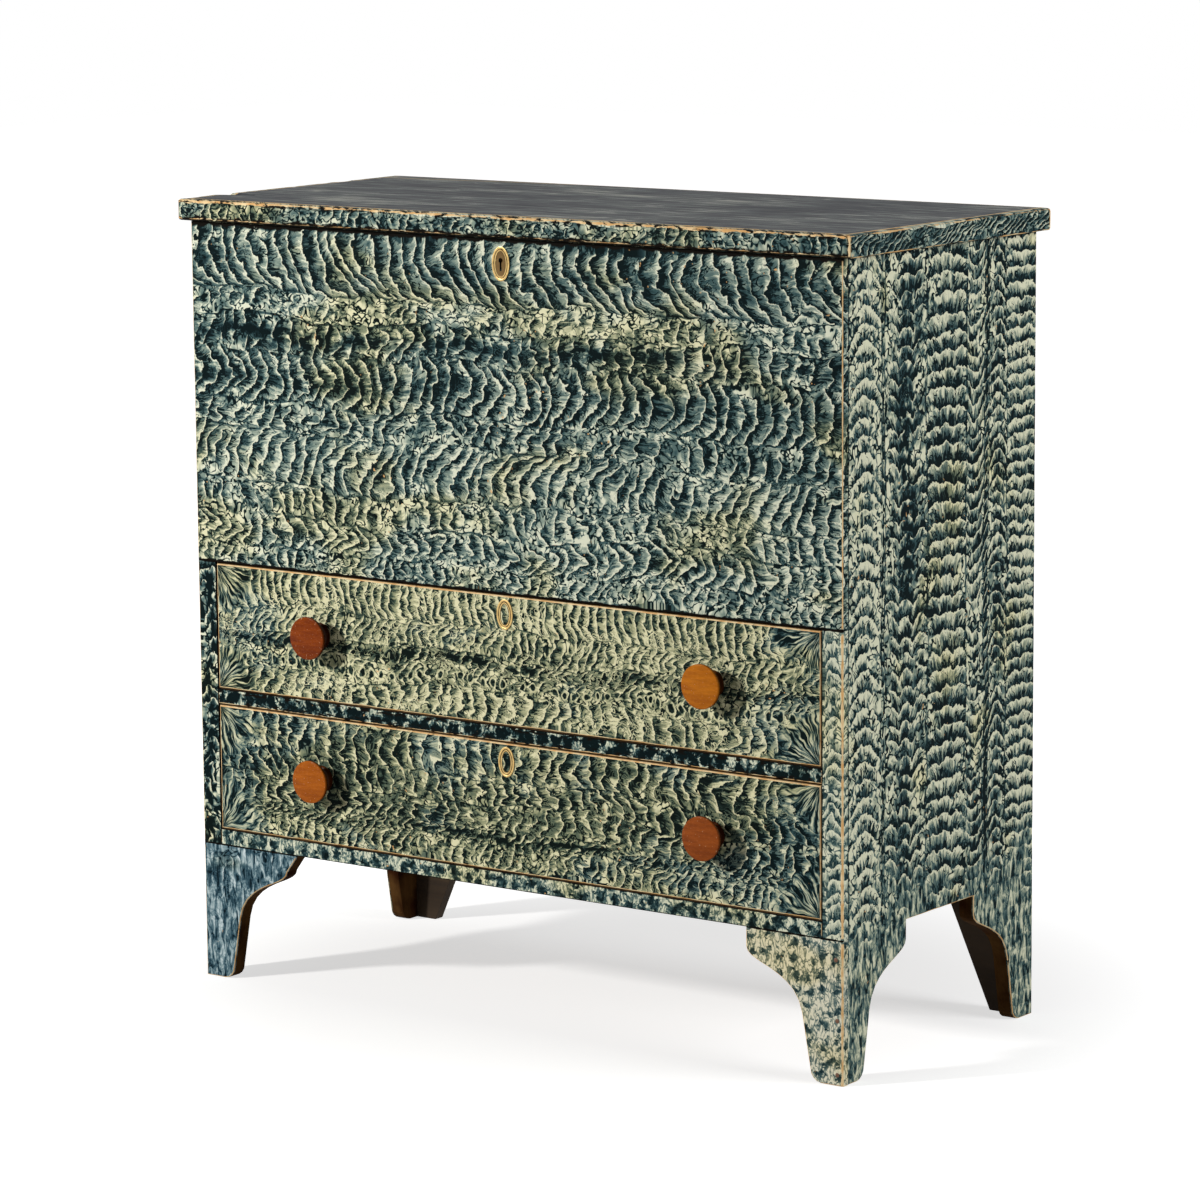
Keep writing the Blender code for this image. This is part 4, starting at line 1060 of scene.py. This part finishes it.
def worn_strip(node, run):
    """A lid strip, worn and chipped on its outer edges and rounded at the lid's front corners."""
    bm = welded(node)
    low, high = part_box(node)
    count = round((high[run] - low[run]) / STRIP_STEP)
    normal = Vector()
    normal[run] = 1.0
    for k in range(1, count):
        cut = low.copy()
        cut[run] += (high[run] - low[run]) * k / count
        bmesh.ops.bisect_plane(bm, geom=[*bm.verts, *bm.edges, *bm.faces], plane_co=cut, plane_no=normal)
    bm.normal_update()
    shift = {}
    for v in bm.verts:
        out = min(v.co.y - LID_LOW.y, v.co.x - LID_LOW.x, LID_HIGH.x - v.co.x)
        rim = min(v.co.z - low.z, high.z - v.co.z)
        if out < RIM and rim < RIM:
            shift[v] = v.normal * (chips(v.co, 3.0, 60.0) * -RIM_WEAR)
    for v, by in shift.items():
        v.co += by
    for end, radius in ((LID_LOW.x, LEFT_CORNER), (LID_HIGH.x, RIGHT_CORNER)):
        turn = Vector((end + math.copysign(radius, -end), LID_LOW.y + radius))
        for v in bm.verts:
            arm = v.co.xy - turn
            if arm.x * end > 0 and arm.y < 0 and arm.length > radius:
                v.co.xy = turn + arm.normalized() * (radius - chips(v.co, 9.0, 90.0) * CORNER_WEAR)
    middle = (low.z + high.z) / 2
    for v in bm.verts:
        near = 1.0 - (v.co.x - LID_LOW.x) / END_LENGTH
        if near > 0.0 and v.co.y < LID_LOW.y + END_BACK:
            v.co.z = middle + (v.co.z - middle) * (1.0 - END_ROUND * near * near)
    return bm


# The chip in the lid's left edge: how far behind the lid's front it is, where its ends and its deepest point lie from
# there, its depth, and the way in that it runs out
CHIP_BEHIND = 0.088
CHIP_FRONT, CHIP_DEEPEST, CHIP_BACK = -0.020, -0.003, 0.026
CHIP_DEPTH = 0.014
CHIP_INWARD = Vector((0.060, 0.004, 0.012))


def edge_chip():
    """A wedge that takes a chip out of the lid's left edge, deepest at the outside."""
    x, y, top = LID_LOW.x - 0.006, LID_LOW.y + CHIP_BEHIND, LID_HIGH.z + 0.001
    outline = [(x, y + CHIP_FRONT, top), (x, y + CHIP_DEEPEST, LID_HIGH.z - CHIP_DEPTH), (x, y + CHIP_BACK, top)]
    return prism(outline, CHIP_INWARD)


for node, run in STRIPS.items():
    strip = worn_strip(node, run)
    mesh = carved(strip, edge_chip()) if node == "lid_left_strip" else to_mesh(strip, node)
    piece(f"{node}_worn", mesh, [PAINTS[node]], node, "grain_paint", node)
piece("lid_board_worn", carved(welded("lid_board"), edge_chip()), [lid_paint("lid_dark_paint", "lid_board")],
      "lid_board", "lid_paint", "lid_board")


# Knobs, turned finer than the CAD

KNOB_NECK, KNOB_COLLAR, KNOB_TENON = 0.0115, 0.0165, 0.0075
KNOB_CROWN = 0.0012
KNOB_SIDES = 64
KNOB_TONES = {
    "upper_drawer_left_knob": ((0.090, 0.011, 0.001), (0.300, 0.058, 0.003)),
    "upper_drawer_right_knob": ((0.250, 0.060, 0.003), (0.580, 0.190, 0.008)),
    "lower_drawer_left_knob": ((0.200, 0.042, 0.003), (0.480, 0.130, 0.008)),
    "lower_drawer_right_knob": ((0.135, 0.026, 0.003), (0.360, 0.085, 0.010)),
}


def knob_profile(radius, seat, end):
    """(radius, depth) places from the crown of a knob to the end of its tenon, seated on the drawer front."""
    crown = [((radius - KNOB_CROWN) * k / 10, KNOB_CROWN * (k / 10) ** 2) for k in range(1, 11)]
    rim, back = (radius, 0.0050), (radius - 0.0022, 0.0066)
    throat, foot = (KNOB_NECK, 0.0118), (KNOB_NECK, seat - 0.0050)
    return [*crown, *arc(crown[-1], (radius, 0.0024), True, 6), rim, *arc(rim, back, False, 4),
            *arc(back, throat, True, 10), (KNOB_NECK - 0.0006, 0.0175),
            foot, *arc(foot, (KNOB_COLLAR, seat - 0.0017), False, 6),
            (KNOB_COLLAR, seat - 0.0004), (KNOB_COLLAR - 0.0004, seat), (KNOB_TENON, seat), (KNOB_TENON, end)]


for node, (dark, light) in KNOB_TONES.items():
    low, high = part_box(node)
    profile = knob_profile((high.x - low.x) / 2, FRONT_Y - 0.0003 - low.y, high.y - low.y - 0.0002)
    knob = loft([oval((low + high) / 2, low.y + depth, wide, wide, KNOB_SIDES) for wide, depth in profile])
    wood = turned_wood(f"{node}_wood", node, dark, light)
    piece(f"{node}_turned", smoothed(to_mesh(knob, node), 40), [wood], node, "knob_wood", node)


# Keyhole plates, pressed in relief with a border of beads

# Inset from the plate's outline and height above its back, in millimetres
RELIEF = ((0.0, 0.0), (0.0, 0.7), (0.3, 0.8), (2.3, 0.8), (2.8, 0.45), (3.5, 0.45), (3.9, 1.05), (4.4, 1.4),
          (4.9, 1.05), (5.3, 0.55), (6.1, 0.5))
PLATE_SIDES = 72
BEAD_COUNT, BEAD_RADIUS, BEAD_INSET, BEAD_HEIGHT = 58, 0.00078, 0.0013, 0.0008
# The keyhole: a round eye above the plate's middle, over a slot that ends below it
EYE_RADIUS, EYE_ABOVE, SLOT_HALF, SLOT_BELOW = 0.0031, 0.0040, 0.0014, 0.0085


def keyhole(middle, y):
    """The keyhole's outline in front of a plate."""
    turns = [math.tau * k / 28 for k in range(-12, 13)]
    eye = [(EYE_RADIUS * math.sin(t), EYE_ABOVE + EYE_RADIUS * math.cos(t)) for t in turns]
    return [(middle.x + x, y, middle.z + z) for x, z in (*eye, (SLOT_HALF, -SLOT_BELOW), (-SLOT_HALF, -SLOT_BELOW))]


for node in ("lock_plate", "upper_drawer_plate", "lower_drawer_plate"):
    low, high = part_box(node)
    middle, half = (low + high) / 2, (high - low) / 2
    plate = loft([oval(middle, high.y - height / 1000, half.x - inset / 1000, half.z - inset / 1000, PLATE_SIDES)
                  for inset, height in RELIEF])
    brass = aged_brass(f"{node}_brass", node)
    materials = [brass]
    if node == "lock_plate":
        mesh = carved(plate, prism(keyhole(middle, low.y - 0.005), Vector((0.0, 0.012, 0.0))))
    else:
        # The drawers' plates are open in the middle, where the paint shows
        mesh = to_mesh(plate, node)
        materials.append(PAINTS[node.replace("_plate", "_front")])
        for face in mesh.polygons:
            face.material_index = int(len(face.vertices) > 4 and face.center.y < high.y - 0.0001)
    piece(f"{node}_pressed", smoothed(mesh, 50), materials, node, "brass", node)
    values = {"Half Width": half.x - BEAD_INSET, "Half Height": half.z - BEAD_INSET, "Count": BEAD_COUNT,
              "Radius": BEAD_RADIUS, "Middle": (middle.x, high.y - BEAD_HEIGHT, middle.z), "Seed": 1,
              "Material": brass}
    piece(f"{node}_beads", grown(BEADS, values), [], node, "brass")


# Nails and screws: radius and height of their heads, and where they stand

SMALL_NAIL, LARGE_NAIL = (0.0028, 0.0005), (0.0032, 0.0006)
FLUSH_SCREW, PROUD_SCREW = (0.0030, 0.0002), (0.0030, 0.0004)
FOOT_NAILS = ((0.0095, 0.149), (0.0075, 0.077), (0.0075, 0.013))  # in from the right edge, and above the floor
NAIL_INSET = 0.006
LEAF_FLAT, LEAF_INSET, LEAF_SPACING, STRIKE_SPACING = 0.012, 0.009, 0.020, 0.018
RUST = old_iron("rusted_iron", 0.9)
IRON = old_iron("old_iron", 0.35)


def level(node, highest):
    """Height of the flat part of a hinge leaf, near its front edge."""
    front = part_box(node)[0].y
    flat = [v.co.z for v in NODES[node].data.vertices if v.co.y < front + LEAF_FLAT]
    return max(flat) if highest else min(flat)


low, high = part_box("right_front_foot")
nails = [(high.x - inset, low.y, height) for inset, height in FOOT_NAILS]
heads("foot_nails", NAILS, nails, "-Y", *SMALL_NAIL, RUST, "right_front_foot")
nails = []
for node in ("lower_back_board", "middle_back_board", "upper_back_board"):
    low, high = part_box(node)
    nails += [(x, high.y, low.z + (high.z - low.z) * share)
              for x in (low.x + NAIL_INSET, high.x - NAIL_INSET) for share in (0.15, 0.5, 0.85)]
heads("back_nails", NAILS, nails, "+Y", *LARGE_NAIL, RUST, "upper_back_board")
for drawer in ("upper", "lower"):
    node = f"{drawer}_drawer_bottom"
    low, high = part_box(node)
    nails = [(low.x + (high.x - low.x) * (k + 0.5) / 5, high.y - NAIL_INSET, low.z) for k in range(5)]
    heads(f"{drawer}_drawer_nails", NAILS, nails, "-Z", *SMALL_NAIL, RUST, node)
case_screws, lid_screws = [], []
for hand in ("left", "right"):
    for leaf, found, highest in (("case", case_screws, True), ("lid", lid_screws, False)):
        node = f"{hand}_hinge_{leaf}_leaf"
        low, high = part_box(node)
        found += [((low.x + high.x) / 2 + k * LEAF_SPACING, low.y + LEAF_INSET, level(node, highest))
                  for k in (-1, 0, 1)]
low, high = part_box("lock_strike")
lid_screws += [((low.x + high.x) / 2 + k * STRIKE_SPACING, (low.y + high.y) / 2, low.z) for k in (-1, 1)]
heads("hinge_case_screws", SCREWS, case_screws, "+Z", *FLUSH_SCREW, IRON, "left_hinge_case_leaf")
heads("hinge_lid_screws", SCREWS, lid_screws, "-Z", *FLUSH_SCREW, IRON, "left_hinge_lid_leaf")
low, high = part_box("lock_case")
corners = [(x, high.y, z) for x in (low.x + 0.006, high.x - 0.006) for z in (low.z + 0.007, high.z - 0.010)]
heads("lock_screws", SCREWS, corners, "+Y", *PROUD_SCREW, IRON, "lock_case")


# Inner woodwork and ironwork keep their CAD shape, the woodwork with softened edges

AGED = ((0.085, 0.045, 0.020), (0.34, 0.205, 0.095))
CLEAN = ((0.16, 0.085, 0.035), (0.50, 0.320, 0.150))
# Near-black pine, given to the rear brackets under the case
DARKEST = ((0.012, 0.007, 0.004), (0.050, 0.030, 0.014))
WOODS = {name: pine(f"pine_{name}", grain, *tones, seed) for name, grain, tones, seed in (
    ("lower_back", "X", AGED, 1.0), ("middle_back", "X", AGED, 1.7), ("upper_back", "X", AGED, 3.1),
    ("well", "X", CLEAN, 2.0), ("drawer_x", "X", CLEAN, 4.0), ("drawer_y", "Y", CLEAN, 5.0),
    ("runner", "Y", AGED, 6.0), ("bracket", "X", DARKEST, 7.0))}
# The first mark that a node's name holds gives its wood
WOOD_MARKS = (("lower_back", "lower_back"), ("middle_back", "middle_back"), ("upper_back", "upper_back"),
              ("bracket", "bracket"), ("well", "well"), ("drawer_back", "drawer_x"), ("drawer_bottom", "drawer_x"),
              ("drawer", "drawer_y"), ("", "runner"))
SOFT_EDGE = 0.0007

for node, obj in NODES.items():
    if obj.hide_render:
        continue
    iron = "hinge" in node or node.startswith("lock_")
    obj.data.materials.clear()
    obj.data.materials.append(IRON if iron else WOODS[next(wood for mark, wood in WOOD_MARKS if mark in node)])
    if not iron:
        obj.modifiers.new("weld", "WELD").merge_threshold = ON_PLANE
        soften = obj.modifiers.new("soften", "BEVEL")
        soften.width = SOFT_EDGE
        soften.segments = 2
        soften.limit_method = "ANGLE"
        soften.angle_limit = math.radians(40)


# Floor, light and camera

WHITE = (1.0, 1.0, 1.0)
FLOOR = [(-12, -12, 0), (12, -12, 0), (12, 14, 0), (-12, 14, 0)]
FLOOR_GREY = (0.55, 0.55, 0.55)
KEY_WATTS, FILL_WATTS, WORLD_LIGHT = 213.0, 112.0, 0.07
# The camera, fitted to the photograph's corners: its turns in radians, its lens and its place before the front
PAN, TILT, ROLL = 0.6346, 0.1637, -0.0083
LENS, SENSOR = 145.15, 36.0
EYE = Vector((3.4680, FRONT_Y - 4.5193, 1.4649))


def area_light(name, energy, size, place, target, colour=WHITE):
    data = bpy.data.lights.new(name, "AREA")
    data.energy = energy
    data.size = size
    data.color = colour
    lamp = add_object(name, data)
    lamp.location = place
    lamp.rotation_euler = (Vector(target) - Vector(place)).to_track_quat("-Z", "Y").to_euler()


def seen(tree):
    """1 where the camera, a reflection or glass looks at the studio, 0 where it lights the chest."""
    path = add(tree, "ShaderNodeLightPath").outputs
    return sum((Value(tree, path[f"Is {kind} Ray"]) for kind in ("Glossy", "Transmission")),
               Value(tree, path["Is Camera Ray"]))


def studio():
    mesh = bpy.data.meshes.new("floor")
    mesh.from_pydata(FLOOR, [], [(0, 1, 2, 3)])
    floor = add_object("floor", mesh)
    floor.location.z = -0.0003
    material, tree, shader = new_material("floor_white")
    shader.inputs["Base Color"].default_value = (*FLOOR_GREY, 1.0)
    shader.inputs["Roughness"].default_value = 0.9
    shader.inputs["Specular IOR Level"].default_value = 0.0
    shader.inputs["Emission Color"].default_value = (*WHITE, 1.0)
    far = add(tree, "ShaderNodeVectorMath", {"Vector": object_place(tree)}, operation="LENGTH").outputs["Value"]
    plug(tree, shader.inputs["Emission Strength"], seen(tree) * Value(tree, far).ramp(0.35, 1.0, 0.62, 1.0))
    mesh.materials.append(material)

    world = bpy.data.worlds.new("studio")
    bpy.context.scene.world = world
    world.use_nodes = True
    tree = world.node_tree
    back = tree.nodes["Background"]
    plug(tree, back.inputs["Strength"], mix(tree, seen(tree), WORLD_LIGHT, 1.0))
    back.inputs["Color"].default_value = (*WHITE, 1.0)

    area_light("key", KEY_WATTS, 0.4, (-2.5, -3.7, 2.2), (0.0, 0.0, 0.55), (1.0, 0.98, 0.95))
    area_light("fill", FILL_WATTS, 1.8, (4.2, 0.6, 2.0), (0.48, 0.0, 0.5))


def camera():
    forward = Vector((-math.sin(PAN) * math.cos(TILT), math.cos(PAN) * math.cos(TILT), -math.sin(TILT)))
    right = Vector((math.cos(PAN), math.sin(PAN), 0.0))
    up = right.cross(forward)
    right, up = math.cos(ROLL) * right + math.sin(ROLL) * up, math.cos(ROLL) * up - math.sin(ROLL) * right
    data = bpy.data.cameras.new("camera")
    data.lens = LENS
    data.sensor_width = SENSOR
    eye = add_object("camera", data)
    eye.matrix_world = Matrix.Translation(EYE) @ Matrix((right, up, -forward)).transposed().to_4x4()
    bpy.context.scene.camera = eye


studio()
camera()
bpy.context.scene.view_settings.view_transform = "Standard"
